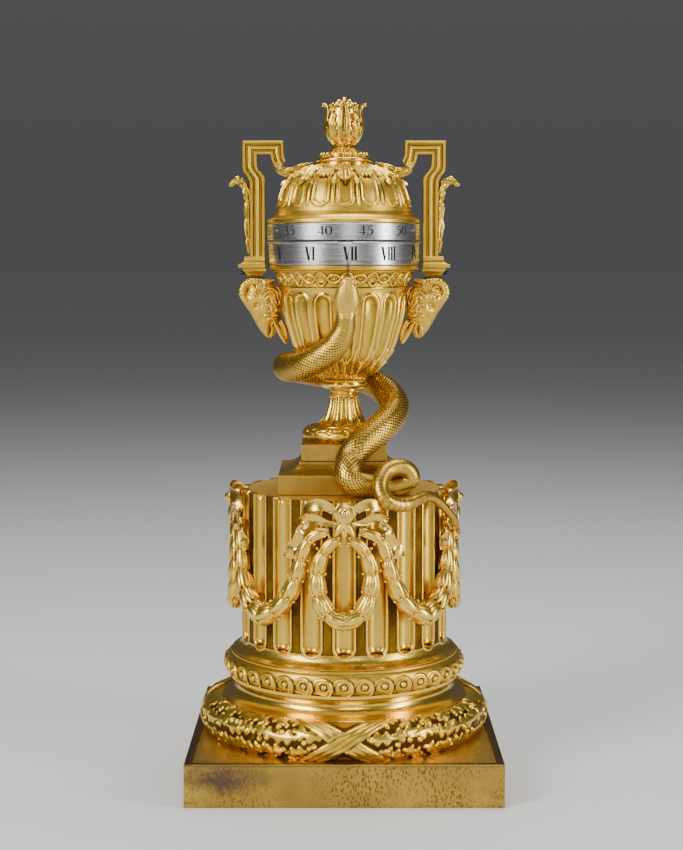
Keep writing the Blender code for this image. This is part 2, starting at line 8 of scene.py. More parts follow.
import bpy
import numpy as np
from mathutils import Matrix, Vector


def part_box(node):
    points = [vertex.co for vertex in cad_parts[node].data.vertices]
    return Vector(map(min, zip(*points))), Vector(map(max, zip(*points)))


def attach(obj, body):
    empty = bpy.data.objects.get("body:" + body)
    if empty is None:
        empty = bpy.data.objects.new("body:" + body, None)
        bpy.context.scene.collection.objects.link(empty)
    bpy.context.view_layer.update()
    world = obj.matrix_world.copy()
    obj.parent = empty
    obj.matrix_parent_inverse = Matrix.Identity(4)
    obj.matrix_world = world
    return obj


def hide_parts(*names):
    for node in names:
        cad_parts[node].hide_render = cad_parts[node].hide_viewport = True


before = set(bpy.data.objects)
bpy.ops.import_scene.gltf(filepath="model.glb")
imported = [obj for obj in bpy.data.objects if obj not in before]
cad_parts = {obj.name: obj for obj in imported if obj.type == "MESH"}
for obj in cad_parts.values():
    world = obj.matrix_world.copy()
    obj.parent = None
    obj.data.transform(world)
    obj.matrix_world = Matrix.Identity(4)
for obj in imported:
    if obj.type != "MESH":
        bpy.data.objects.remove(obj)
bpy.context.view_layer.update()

MM = 0.001
TURN = 2 * np.pi
QUARTERS = ("front", "right", "back", "left")

PLINTH_HALF = round(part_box("plinth")[1][0] / MM, 3)
COLUMN_RADIUS = 75.0
COLUMN_TOP = round(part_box("fluted_column")[1][2] / MM, 3)
FLUTES = 20
PETALS = 16
URN_TURN = math.radians(2.5)
RING_RADIUS = 56.0
EYE_HEIGHT = 381.2


# ---------------------------------------------------------------- shared shapes of curves

def fade(edge0, edge1, x):
    """A smooth step: 0 below edge0, 1 above edge1, with a level start and end."""
    t = np.clip((x - edge0) / (edge1 - edge0), 0.0, 1.0)
    return t * t * (3 - 2 * t)


def ridge(x, half):
    """A round-topped ridge: 1 at x = 0, falling as a half circle to 0 at |x| = half."""
    return np.sqrt(np.clip(1 - (x / half) ** 2, 0.0, 1.0))


def lane(x, half, soft):
    """A flat strip: 1 for |x| below half, fading to 0 over soft beyond it."""
    return 1 - fade(half, half + soft, np.abs(x))


def around(columns):
    """Angles once round a circle, as one row of columns."""
    return np.linspace(0, TURN, columns, endpoint=False)[None, :]


def unit(vectors):
    """The same directions, each of length 1."""
    return vectors / np.maximum(np.linalg.norm(vectors, axis=1, keepdims=True), 1e-9)


def through(knots, count):
    """Catmull-Rom curve through rows of numbers, sampled at even steps of its parameter."""
    rows = np.asarray(knots, float)
    rows = np.vstack([2 * rows[0] - rows[1], rows, 2 * rows[-1] - rows[-2]])
    t = np.linspace(0, len(rows) - 3 - 1e-9, count)
    i = t.astype(int)
    f = (t - i)[:, None]
    a, b, c, d = rows[i], rows[i + 1], rows[i + 2], rows[i + 3]
    return 0.5 * (2 * b + (c - a) * f + (2 * a - 5 * b + 4 * c - d) * f ** 2
                  + (3 * b - a - 3 * c + d) * f ** 3)


def straight(knots, step=0.6):
    """Straight runs through rows of numbers, sampled about every step, keeping each corner."""
    rows = np.asarray(knots, float)
    out = [rows[:1]]
    for a, b in zip(rows, rows[1:]):
        count = max(1, int(np.ceil(np.linalg.norm(b - a) / step)))
        out.append(a + (b - a) * np.linspace(0, 1, count + 1)[1:, None])
    return np.vstack(out)


def arc(centre, radius, start, end, count):
    """Points (radius, height) on an arc round centre, angles in degrees from the outward axis."""
    t = np.radians(np.linspace(start, end, count))
    return np.stack([centre[0] + radius * np.cos(t), centre[1] + radius * np.sin(t)], 1)


def round_axis(radius, angle, height):
    """Places on a circle round Z: x is radius times the sine, y minus radius times the cosine."""
    return np.stack(np.broadcast_arrays(
        radius * np.sin(angle), -radius * np.cos(angle), height), -1)


def outward(profile):
    """The unit normal of a profile listed down its outer side, one (radius, height) a row."""
    step = np.gradient(profile, axis=0)
    return unit(np.stack([-step[:, 1], step[:, 0]], 1))


# ---------------------------------------------------------------- meshes

def link(name, data):
    """A new object for a mesh, a light or a camera, put into the scene at the origin."""
    item = bpy.data.objects.new(name, data)
    bpy.context.scene.collection.objects.link(item)
    return item


class Piece:
    """Grids of points in millimetres, gathered into one mesh with tone and matt values.

    tone is 0 in a deep ground and 1 on a burnished edge; in the colour it is painted shade in
    the grounds and painted highlight on the proud edges, and in the gloss it is the edges' burnish.
    matt is 1 where punches or hatching dull the surface.
    """

    def __init__(self, name):
        self.name = name
        self.places, self.tones, self.matts = [], [], []
        self.loops, self.starts = [], []
        self.points_so_far = self.loops_so_far = 0

    def add_faces(self, faces):
        """Adds faces of one size: rows of vertex numbers."""
        faces = np.asarray(faces)
        self.loops.append(faces.reshape(-1))
        count, size = faces.shape
        self.starts.append(self.loops_so_far + np.arange(count) * size)
        self.loops_so_far += count * size

    def grid(self, points, tone=0.5, matt=0.0, around=True, ring=False, caps=True):
        """Adds grids shaped (copies, rows, columns, 3), or one grid without the copies axis.

        around closes the columns, ring closes the rows, and caps fills the first and last
        rows where they are open.
        """
        points = np.asarray(points, float)
        if points.ndim == 3:
            points = points[None]
        copies, rows, columns, _ = points.shape
        index = np.arange(rows * columns).reshape(rows, columns)
        if around:
            index = np.hstack([index, index[:, :1]])
        if ring:
            index = np.vstack([index, index[:1]])
        quads = np.stack([index[:-1, :-1], index[:-1, 1:], index[1:, 1:], index[1:, :-1]], -1)
        quads = quads.reshape(-1, 4)
        flip = self.inside_out(points[0].reshape(-1, 3), quads)
        offset = self.points_so_far + np.arange(copies)[:, None, None] * (rows * columns)
        turn = (lambda faces: faces[..., ::-1]) if flip else (lambda faces: faces)
        self.add_faces(turn(quads[None] + offset).reshape(-1, 4))
        if caps and around and not ring:
            ends = np.stack([np.arange(columns)[::-1], (rows - 1) * columns + np.arange(columns)])
            self.add_faces(turn(ends[None] + offset).reshape(-1, columns))
        total = copies * rows * columns
        for store, value in ((self.tones, tone), (self.matts, matt)):
            store.append(np.broadcast_to(value, (copies, rows, columns)).reshape(-1))
        self.places.append(points.reshape(-1, 3))
        self.points_so_far += total
        return self

    @staticmethod
    def inside_out(points, quads):
        """Whether the grid's own volume comes out negative with its faces as listed."""
        a, b, c, d = (points[quads[:, i]] - points.mean(axis=0) for i in range(4))
        volume = np.einsum("ij,ij->i", a, np.cross(b, c)) + np.einsum("ij,ij->i", a, np.cross(c, d))
        return volume.sum() < 0

    def make(self, material, body="root", nodes=(), slot=None, sharp=50):
        """Builds the mesh in metres, lets it ride on its body and stand for its nodes."""
        mesh = bpy.data.meshes.new(self.name)
        places = np.concatenate(self.places) * MM
        loops = np.concatenate(self.loops).astype(np.int32)
        starts = np.concatenate(self.starts).astype(np.int32)
        mesh.vertices.add(len(places))
        mesh.vertices.foreach_set("co", places.astype(np.float32).ravel())
        mesh.loops.add(len(loops))
        mesh.loops.foreach_set("vertex_index", loops)
        mesh.polygons.add(len(starts))
        mesh.polygons.foreach_set("loop_start", starts)
        mesh.update(calc_edges=True)
        for name, store in (("tone", self.tones), ("matt", self.matts)):
            values = mesh.attributes.new(name, "FLOAT", "POINT")
            values.data.foreach_set("value", np.concatenate(store).astype(np.float32))
        mesh.shade_smooth()
        mesh.set_sharp_from_angle(angle=math.radians(sharp))
        mesh.materials.append(material)
        item = link(self.name, mesh)
        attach(item, body)
        if nodes:
            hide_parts(*nodes)
        return item


# ---------------------------------------------------------------- finishes

class Finish:
    """A node material: a Principled shader with small helpers that wire what feeds it."""

    def __init__(self, name, metallic=1.0, roughness=0.3, colour=(0.8, 0.8, 0.8)):
        self.material = bpy.data.materials.new(name)
        self.material.use_nodes = True
        self.tree = self.material.node_tree
        self.shader = self.tree.nodes["Principled BSDF"]
        self.shader.inputs["Metallic"].default_value = metallic
        self.shader.inputs["Roughness"].default_value = roughness
        self.shader.inputs["Base Color"].default_value = (*colour, 1.0)
        self.place = self.node("ShaderNodeTexCoord").outputs["Object"]

    def node(self, kind, **settings):
        """A new node, with its own settings."""
        item = self.tree.nodes.new(kind)
        for key, value in settings.items():
            setattr(item, key, value)
        return item

    def wire(self, source, socket):
        """Joins an output to an input."""
        self.tree.links.new(source, socket)

    def attribute(self, name):
        """A value kept at the mesh's own points."""
        return self.node("ShaderNodeAttribute", attribute_name=name).outputs["Fac"]

    def maths(self, operation, first, second=0.0, third=0.0):
        """A sum of sockets or plain numbers, such as first times second plus third."""
        item = self.node("ShaderNodeMath", operation=operation)
        for socket, value in zip(item.inputs, (first, second, third)):
            if isinstance(value, (int, float)):
                socket.default_value = value
            else:
                self.wire(value, socket)
        return item.outputs[0]

    def noise(self, scale, detail=3.0, rough=0.55, stretch=(1.0, 1.0, 1.0)):
        """Noise on the piece's own coordinates, stretched along an axis by a small factor."""
        mapping = self.node("ShaderNodeMapping")
        mapping.inputs["Scale"].default_value = stretch
        self.wire(self.place, mapping.inputs["Vector"])
        item = self.node("ShaderNodeTexNoise")
        item.inputs["Scale"].default_value = scale
        item.inputs["Detail"].default_value = detail
        item.inputs["Roughness"].default_value = rough
        self.wire(mapping.outputs[0], item.inputs["Vector"])
        return item.outputs["Fac"]

    def cells(self, scale, stretch=(1.0, 1.0, 1.0)):
        """The distance to the nearest cell centre: round pits for punch marks."""
        mapping = self.node("ShaderNodeMapping")
        mapping.inputs["Scale"].default_value = stretch
        self.wire(self.place, mapping.inputs["Vector"])
        item = self.node("ShaderNodeTexVoronoi")
        item.inputs["Scale"].default_value = scale
        self.wire(mapping.outputs[0], item.inputs["Vector"])
        return item.outputs["Distance"]

    def ramp(self, value, *stops):
        """A colour that runs through stops of (position, colour)."""
        item = self.node("ShaderNodeValToRGB")
        elements = item.color_ramp.elements
        while len(elements) < len(stops):
            elements.new(0.5)
        for element, (position, colour) in zip(elements, stops):
            element.position = position
            element.color = (*colour, 1.0)
        self.wire(value, item.inputs["Fac"])
        return item.outputs["Color"]

    def blend(self, factor, first, second):
        """Mixes two colours, each a socket or a plain triple, by a factor socket."""
        item = self.node("ShaderNodeMix", data_type="RGBA")
        self.wire(factor, item.inputs[0])
        for socket, value in ((item.inputs[6], first), (item.inputs[7], second)):
            if isinstance(value, tuple):
                socket.default_value = (*value, 1.0)
            else:
                self.wire(value, socket)
        return item.outputs[2]

    def colour(self, source):
        """Feeds the shader's colour."""
        self.wire(source, self.shader.inputs["Base Color"])

    def roughness(self, source):
        """Feeds the shader's roughness."""
        self.wire(source, self.shader.inputs["Roughness"])

    def bumps(self, *layers):
        """Each layer is (height, strength, distance in millimetres), one over the other."""
        last = None
        for height, strength, distance in layers:
            item = self.node("ShaderNodeBump")
            item.inputs["Strength"].default_value = strength
            item.inputs["Distance"].default_value = distance * MM
            self.wire(height, item.inputs["Height"])
            if last is not None:
                self.wire(last, item.inputs["Normal"])
            last = item.outputs["Normal"]
        self.wire(last, self.shader.inputs["Normal"])


def plain(name, metallic, roughness, colour):
    """A bare finish of one colour, with fine grain in its gloss."""
    made = Finish(name, metallic, roughness, colour)
    made.shader.inputs["Specular IOR Level"].default_value = 0.5 if metallic else 0.15
    grain = made.noise(500.0, 2.0)
    made.roughness(made.maths("MULTIPLY_ADD", grain, 0.12, roughness - 0.06))
    return made.material


def bare_metal(name, dark, light, roughness):
    """Unplated metal of the movement: file lines across it, cloudy colour and a gloss that changes."""
    made = Finish(name)
    filed = made.noise(1.0, 3.0, 0.6, (90.0, 90.0, 2400.0))
    cloudy = made.noise(55.0, 4.0)
    shade = made.maths("MULTIPLY_ADD", filed, 0.4, made.maths("MULTIPLY", cloudy, 0.6))
    made.colour(made.ramp(shade, (0.36, dark), (0.62, light)))
    made.roughness(made.maths("MULTIPLY_ADD", cloudy, 0.3, roughness - 0.15))
    made.bumps((filed, 0.1, 0.02))
    return made.material


def silvering():
    """Silvered brass, brushed round the ring, with a little tarnish."""
    made = Finish("silvering")
    brushed = made.noise(1.0, 4.0, 0.7, (30.0, 30.0, 1400.0))
    cloud = made.noise(45.0, 3.0)
    made.colour(made.ramp(cloud, (0.25, (0.50, 0.49, 0.46)), (0.6, (0.66, 0.66, 0.66))))
    made.roughness(made.maths("MULTIPLY_ADD", brushed, 0.16, 0.2))
    made.bumps((brushed, 0.1, 0.1))
    return made.material


def gilt(name, deep=(0.10, 0.042, 0.004), ground=(0.57, 0.335, 0.025), bright=(1.0, 0.69, 0.115),
         rough=0.27, wear=0.5):
    """Mercury gilding: duller in the grounds and glossier where it is burnished; its colour runs from
    painted shade in the grounds to painted highlight on the proud edges.
    """
    made = Finish(name)
    tone, matt = made.attribute("tone"), made.attribute("matt")
    cloud, grain = made.noise(38.0, 4.0), made.noise(420.0, 3.0)
    shifted = made.maths("ADD", tone, made.maths("MULTIPLY", made.maths("SUBTRACT", cloud, 0.5), wear))
    dulled = made.maths("SUBTRACT", shifted, made.maths("MULTIPLY", matt, 0.16))
    half_bright = tuple(0.5 * (a + b) for a, b in zip(ground, bright))
    # the colour follows tone: towards deep in the grounds as painted shade, towards bright on proud edges
    # as painted highlight
    made.colour(made.ramp(dulled, (0.0, deep), (0.28, ground), (0.62, half_bright), (0.95, bright)))
    base = made.maths("MULTIPLY_ADD", tone, -0.16, rough + 0.10)
    speckled = made.maths("MULTIPLY_ADD", grain, 0.14, made.maths("MULTIPLY_ADD", matt, 0.2, base))
    made.roughness(made.maths("MAXIMUM", speckled, 0.12))
    punch = made.maths("MULTIPLY", made.cells(900.0), matt)
    made.bumps((grain, 0.22, 0.25), (punch, 0.75, 0.35))
    return made.material


def plinth_gilding():
    """Worn gilding: punched with short upright marks in patches, and stained near one corner."""
    made = Finish("plinth_gilding")
    tone, matt = made.attribute("tone"), made.attribute("matt")
    cloud, grain = made.noise(24.0, 5.0), made.noise(420.0, 3.0)
    shifted = made.maths("MULTIPLY_ADD", cloud, 0.55, made.maths("SUBTRACT", tone, 0.28))
    worn = made.ramp(shifted, (0.0, (0.13, 0.085, 0.055)), (0.2, (0.30, 0.19, 0.04)),
                     (0.45, (0.58, 0.37, 0.07)), (0.8, (0.92, 0.63, 0.16)))
    spots = made.cells(620.0, (1.0, 1.0, 0.5))
    patches = made.maths("MULTIPLY", made.ramp(made.noise(18.0, 4.0), (0.38, (0.0, 0.0, 0.0)),
                                               (0.55, (1.0, 1.0, 1.0))), matt)
    pits = made.maths("MULTIPLY", made.maths("LESS_THAN", spots, 0.4), patches)
    split = made.node("ShaderNodeSeparateXYZ")
    made.wire(made.place, split.inputs[0])
    stain_x, stain_z, front = -83.0 * MM, 19.5 * MM, -(PLINTH_HALF - 1.5) * MM
    across = made.maths("MULTIPLY", made.maths("SUBTRACT", split.outputs["X"], stain_x), 30.0)
    up = made.maths("MULTIPLY", made.maths("SUBTRACT", split.outputs["Z"], stain_z), 85.0)
    spread = made.maths("ADD", made.maths("MULTIPLY", across, across), made.maths("MULTIPLY", up, up))
    frayed = made.maths("SUBTRACT", spread, 1.2)
    ragged = made.maths("MULTIPLY_ADD", made.noise(75.0, 5.0, 0.7), 2.4, frayed)
    stain = made.maths("MULTIPLY", made.maths("LESS_THAN", split.outputs["Y"], front),
                       made.ramp(ragged, (0.05, (0.85, 0.85, 0.85)), (1.0, (0.0, 0.0, 0.0))))
    pitted = made.blend(made.maths("MULTIPLY", pits, 0.75), worn, (0.15, 0.085, 0.02))
    made.colour(made.blend(stain, pitted, (0.10, 0.062, 0.058)))
    gloss = made.maths("MULTIPLY_ADD", grain, 0.14, made.maths("MULTIPLY_ADD", matt, 0.1, 0.24))
    made.roughness(made.maths("MULTIPLY_ADD", stain, 0.2, gloss))
    made.bumps((grain, 0.25, 0.25), (made.maths("MULTIPLY", pits, -1.0), 0.7, 0.35))
    return made.material


# ---------------------------------------------------------------- the studio

def studio():
    """A pale floor, soft lights, and the camera a little below the dial rings' height."""
    floor = Finish("floor_paper", metallic=0.0, roughness=0.85, colour=(0.74, 0.74, 0.74))
    mesh = bpy.data.meshes.new("floor")
    reach = 30.0
    mesh.from_pydata([(-reach, -reach, 0), (reach, -reach, 0), (reach, reach, 0), (-reach, reach, 0)],
                     [], [(0, 1, 2, 3)])
    mesh.materials.append(floor.material)
    link("floor", mesh)

    world = bpy.data.worlds.new("soft_room")
    world.use_nodes = True
    tree = world.node_tree
    place = tree.nodes.new("ShaderNodeTexCoord")
    parts = tree.nodes.new("ShaderNodeSeparateXYZ")
    shade = tree.nodes.new("ShaderNodeValToRGB")
    shade.color_ramp.elements[0].position = 0.03
    shade.color_ramp.elements[0].color = (0.100, 0.101, 0.105, 1.0)
    shade.color_ramp.elements[1].position = 0.75
    shade.color_ramp.elements[1].color = (0.15, 0.15, 0.155, 1.0)
    middle_shade = shade.color_ramp.elements.new(0.28)
    middle_shade.color = (0.125, 0.126, 0.13, 1.0)
    tree.links.new(place.outputs["Generated"], parts.inputs[0])
    tree.links.new(parts.outputs["Z"], shade.inputs["Fac"])
    tree.links.new(shade.outputs["Color"], tree.nodes["Background"].inputs["Color"])
    tree.nodes["Background"].inputs["Strength"].default_value = 0.75
    bpy.context.scene.world = world

    def panel(name, place, aim, size, power, colour=(1.0, 1.0, 1.0)):
        """An oblong soft light at a place, facing its aim."""
        light = bpy.data.lights.new(name, "AREA")
        light.shape = "RECTANGLE"
        light.size, light.size_y = size
        light.energy = power
        light.color = colour
        item = link(name, light)
        item.location = place
        direction = np.subtract(aim, place)
        item.rotation_mode = "QUATERNION"
        item.rotation_quaternion = Vector(direction).to_track_quat("-Z", "Y")

    middle = (0.0, 0.0, 0.27)
    panel("key_left", (-1.25, -1.15, 1.05), middle, (0.7, 1.2), 32.0, (1.0, 0.985, 0.96))
    panel("strip_right", (1.45, -0.75, 0.6), middle, (0.3, 1.3), 20.0, (1.0, 0.98, 0.95))
    panel("top", (0.1, 0.2, 1.7), middle, (0.9, 0.9), 20.0)
    panel("front_fill", (0.35, -2.4, 0.9), middle, (0.9, 0.7), 10.0)

    lens = bpy.data.cameras.new("camera")
    lens.sensor_width = 36.0
    lens.lens = 74.9
    lens.shift_y = -0.0965
    lens.clip_start = 0.05
    camera = link("camera", lens)
    camera.location = (-0.0019, -1.3017, EYE_HEIGHT * MM)
    camera.rotation_euler = (math.radians(90 - 3.0), 0.0, 0.0)
    bpy.context.scene.camera = camera


# ---------------------------------------------------------------- relief on turned bands

def centred(s, pitch):
    """The distance from the nearest multiple of pitch."""
    return (s + pitch / 2) % pitch - pitch / 2


class Band:
    """A turned surface with relief: high is how far each of its points stands proud, in mm.

    s runs round the band at its mean radius and t runs down the profile, both in mm.
    """

    def __init__(self, profile, columns, mean_radius):
        self.profile = np.asarray(profile, float)
        steps = np.linalg.norm(np.diff(self.profile, axis=0), axis=1)
        self.t = np.concatenate([[0], np.cumsum(steps)])[:, None]
        self.angle = np.linspace(-np.pi, np.pi, columns, endpoint=False)[None, :]
        self.mean_radius = mean_radius
        self.s = self.angle * mean_radius
        self.high = np.zeros((len(self.profile), columns))
        self.matt = np.zeros_like(self.high)
        self.radius, self.z = self.profile[:, :1], self.profile[:, 1:]

    def round(self, s):
        """Distance round the band, brought within half a turn either way."""
        return centred(s, TURN * self.mean_radius)

    def stamp(self, at, angle, reach, shape, top=True):
        """Raises shape(p, q) above the band: p runs along the angle from at, q across it."""
        near = np.nonzero(np.abs(self.round(self.s[0] - at[0])) < reach)[0]
        along = self.round(self.s[:, near] - at[0])
        down = self.t - at[1]
        turn = math.radians(angle)
        p = along * math.cos(turn) + down * math.sin(turn)
        q = down * math.cos(turn) - along * math.sin(turn)
        found = shape(p, q)
        old = self.high[:, near]
        self.high[:, near] = np.maximum(old, found) if top else old + found

    def points(self):
        """The profile swept round Z, each point moved out along its normal by high."""
        normal = outward(self.profile)
        return round_axis(self.radius + normal[:, :1] * self.high, self.angle,
                          self.z + normal[:, 1:] * self.high)

    def tone(self, base, gain, reach):
        """Bright where a point stands above the mean of those around it, dark where below: painted
        highlight on the proud parts and painted shade in the hollows.
        """
        return np.clip(base + gain * (self.high - blurred(self.high, reach)), 0.0, 1.0)


def blurred(values, reach):
    """A box mean over 2 reach + 1 points both ways, closed round the columns."""
    across = sum(np.roll(values, k, axis=1) for k in range(-reach, reach + 1)) / (2 * reach + 1)
    padded = np.pad(across, ((reach, reach), (0, 0)), mode="edge")
    rows = len(values)
    return sum(padded[k:k + rows] for k in range(2 * reach + 1)) / (2 * reach + 1)


def leaf(length, width, rise=1.2, lobes=0.0, notch=0.22, point=0.8, edge=0.35, veins=0.18):
    """A leaf from p = 0 to its tip: a sine outline, notched into lobes, domed, with a midrib."""
    def shape(p, q):
        """The dome and rib where (p, q) lies inside the outline, and 0 beyond it."""
        run = np.clip(p / length, 1e-6, 1 - 1e-6)
        half = width / 2 * np.sin(np.pi * run ** point) ** 0.75
        if lobes:
            half = half * (1 - notch + notch * np.cos(TURN * lobes * run))
        x = np.abs(q) / np.maximum(half, 1e-6)
        dome = edge + (1 - edge) * np.sqrt(np.clip(1 - x ** 2, 0, 1))
        rib = 0.3 * np.exp(-(q / (0.07 * width)) ** 2) * (1 - run)
        side = veins * np.cos(TURN * (6 * run - 1.6 * x)) * np.clip(x, 0, 1)
        body = rise * (dome + rib + side) * np.sin(np.pi * np.clip(0.12 + 0.8 * run, 0, 1)) ** 0.5
        return np.where((p > 0) & (p < length) & (x < 1), body, 0.0)
    return shape


def bead(radius, rise=None):
    """A round bead: a half ball of its radius, or flattened to its rise."""
    high = radius if rise is None else rise
    return lambda p, q: high * np.sqrt(np.clip(1 - (p * p + q * q) / radius ** 2, 0, 1))


# ---------------------------------------------------------------- the base

def rounded_square(half, height, corner=0.7, side=40, turn=5):
    """Square rows with round corners, one for each (half side, height)."""
    half = np.atleast_1d(half)[:, None, None]
    height = np.atleast_1d(height)[:, None]
    core, lean = [], []
    for quarter in range(4):
        here = np.array([[1, 1], [-1, 1], [-1, -1], [1, -1]][quarter], float)
        after = np.array([[-1, 1], [-1, -1], [1, -1], [1, 1]][quarter], float)
        t = np.radians(90 * quarter + np.linspace(0, 90, turn))
        core.append(np.repeat(here[None], turn, 0))
        lean.append(np.stack([np.cos(t), np.sin(t)], 1))
        run = np.linspace(0, 1, side + 2)[1:-1, None]
        core.append(here + (after - here) * run)
        lean.append(np.repeat(lean[-1][-1:], side, 0))
    core, lean = np.vstack(core)[None], np.vstack(lean)[None]
    reach = np.minimum(corner, half * 0.5)
    flat = core * (half - reach) + lean * reach
    return np.concatenate([flat, np.broadcast_to(height[..., None], flat.shape[:2] + (1,))], -1)


def plinth():
    """A square block: out from under its middle, up its side, over the rim, into the recess."""
    edge, rim, floor = 0.5, PLINTH_HALF - 5.7, 28.8
    rows = np.vstack([
        [[0.2, 0.0], [60.0, 0.0], [PLINTH_HALF - edge, 0.0], [PLINTH_HALF - 0.15, 0.15]],
        straight([[PLINTH_HALF, edge], [PLINTH_HALF, 30.0 - edge]], 1.5),
        [[PLINTH_HALF - 0.15, 29.85], [PLINTH_HALF - edge, 30.0], [rim + 0.4, 30.0],
         [rim + 0.1, 29.9], [rim, 29.6], [rim - 0.1, floor + 0.2], [rim - 0.4, floor]],
        straight([[rim - 4.0, floor], [2.0, floor]], 6.0), [[0.2, floor]]])
    points = rounded_square(rows[:, 0], rows[:, 1])
    tone = np.full(points.shape[:2], 0.36)
    matt = np.full(points.shape[:2], 1.0)
    on_rim = (rows[:, 1] > 29.0) & (rows[:, 0] > rim - 0.2)
    tone[on_rim], matt[on_rim] = 0.12, 0.1
    inside = (rows[:, 0] < rim - 0.3) & (rows[:, 1] > 20.0)
    tone[inside], matt[inside] = 0.62, 0.55
    corner = (rows[:, 0] > PLINTH_HALF - 0.4) & (rows[:, 1] > 29.5)
    tone[corner] = 0.5
    Piece("plinth_block").grid(points, tone, matt).make(
        FINISHES["plinth"], nodes=("plinth",), slot="plinth_gilt", sharp=30)


def oak_torus():
    """A torus of oak leaves and acorns, bound by crossed ribbons at each quarter."""
    outer = through([(90.3, 54.0), (96.0, 53.3), (101.0, 50.2), (104.0, 45.5), (104.4, 40.0),
                     (102.6, 34.6), (99.4, 30.6), (96.5, 29.2)], 60)
    closing = straight([(96.5, 29.2), (86.0, 29.2), (86.0, 54.0), (90.3, 54.0)], 12.0)[1:-1]
    radius = 101.0
    band = Band(np.vstack([outer, closing]), 1140, radius)
    length = 36.5
    middle = length * 0.53
    rng = np.random.default_rng(7)
    for quarter in range(4):
        for side in (1, -1):
            lean = 0 if side == 1 else 180
            for step in range(8):
                s0 = math.radians(quarter * 90 + side * (8.5 + step * 4.7)) * radius
                rows = ((-9.5, -26), (7.0, 16)) if step % 2 else ((-2.0, -6), (13.0, 30), (-15.0, -30))
                for offset, turn in rows:
                    size = 21.0 + rng.uniform(-2, 2)
                    band.stamp((s0, middle + offset), lean + turn * side + rng.uniform(-9, 9), 27,
                               leaf(size, 0.56 * size, 1.35 + rng.uniform(-0.25, 0.35), lobes=3.0,
                                    notch=0.30, point=0.9, edge=0.5, veins=0.12))
                across, away = rng.uniform(-12, 12), rng.uniform(2, 8) * side
                for shift in (0.0, 3.6)[:1 + step % 2]:
                    band.stamp((s0 + away + shift, middle + across + shift), 0, 6, bead(2.0, 2.6))
    for quarter in range(4):
        near = band.round(band.s - quarter * TURN / 4 * radius)
        fall = band.t - middle
        on = (band.t < length) * (1 - fade(5.0, 9.0, np.abs(near) - 1.25 * np.abs(fall)))
        band.high = band.high * (1 - on)
        for lean in (1, -1):
            off = (near - lean * fall * 1.55) / 1.84
            strap = lane(off, 5.4, 0.5) * (band.t < length)
            strands = 1.3 + 0.5 * np.abs(np.cos(off * np.pi / 3.3)) + (0.45 if lean == 1 else 0.0)
            over = np.maximum(band.high * (1 - strap), strap * strands)
            band.high = np.where(strap > 0.02, over, band.high)
    band.high[len(outer):] = 0.0
    band.high[:2] *= 0.3
    band.matt += 0.25 * (band.high < 0.15)
    # band.tone paints shade between the leaves and straps and highlight on them
    Piece("oak_leaf_torus").grid(band.points(), band.tone(0.46, 1.0, 7), band.matt, ring=True).make(
        FINISHES["relief"], nodes=("base_torus",), slot="gilt_bronze", sharp=75)


def scotia():
    """The plain hollow moulding: a fillet, a hollow of round section, a soft outward foot."""
    hollow = through([(84.2, 68.4), (81.2, 67.0), (79.5, 64.4), (79.2, 61.6), (80.6, 58.6),
                      (84.0, 56.2), (90.2, 54.6)], 40)
    rows = np.vstack([straight([(83.6, 70.7), (84.2, 70.5), (84.2, 68.4)], 0.5)[:-1], hollow,
                      straight([(90.3, 54.3), (80.0, 54.3), (76.0, 70.7)], 8.0)])
    band = Band(rows, 240, 84.0)
    Piece("scotia_moulding").grid(band.points(), 0.82, 0.0, ring=True).make(
        FINISHES["burnished"], nodes=("base_scotia",), slot="gilt_bronze", sharp=40)


def wave_torus():
    """A torus with a running wave: each crest winds over a bead and dives under the next."""
    outer = np.vstack([straight([(82.6, 87.7), (83.5, 87.4), (83.5, 86.1)], 0.4)[:-1],
                       through([(83.6, 86.0), (85.6, 84.9), (87.0, 81.8), (87.2, 78.0),
                                (86.2, 74.2), (84.4, 71.6), (82.6, 71.0)], 56)])
    rows = np.vstack([outer, straight([(82.6, 71.0), (78.0, 71.0), (78.0, 87.7)], 9.0)[1:]])
    radius, units = 88.0, 38
    band = Band(rows, 30 * units, radius)
    middle = float(band.t[np.argmin(np.abs(outer[:, 1] - 78.3)), 0])
    pitch = TURN * radius / units

    def crest(p, q):
        """A round crest that climbs along the band, with a groove inside its edge."""
        off = np.hypot(p + 1.0, q - 2.4)
        climb = 0.25 + 1.6 * fade(-6.5, 6.4, p)
        groove = 0.5 * np.exp(-((off - 5.6) / 0.45) ** 2)
        return (climb - groove) * (1 - fade(7.2, 7.8, off)) * lane(q - 0.6, 6.6, 0.8)

    def hollow(p, q):
        """A shallow round dip for a bead to sit in."""
        return -1.1 * (1 - fade(2.3, 3.4, np.hypot(p, q)))

    for step in range(units):
        band.stamp((step * pitch, middle), 0, pitch * 0.93, crest)
    for step in range(units):
        band.stamp((step * pitch, middle + 0.8), 0, 5, hollow, top=False)
        band.stamp((step * pitch, middle + 0.8), 0, 5, bead(2.2, 2.3))
    band.high[:6] = 0.0
    band.high[len(outer) - 3:] = 0.0
    # band.tone paints shade round the crests and beads and highlight on them
    Piece("running_wave_torus").grid(band.points(), band.tone(0.54, 1.2, 5), 0.1, ring=True).make(
        FINISHES["relief"], nodes=("wave_torus",), slot="gilt_bronze", sharp=75)


# ---------------------------------------------------------------- the column

def flute(reach):
    """A hollow of round section with a thin raised rim, by the distance from its middle line."""
    return 0.55 * ridge(reach - 7.4, 0.95) - 4.4 * ridge(reach, 6.5)


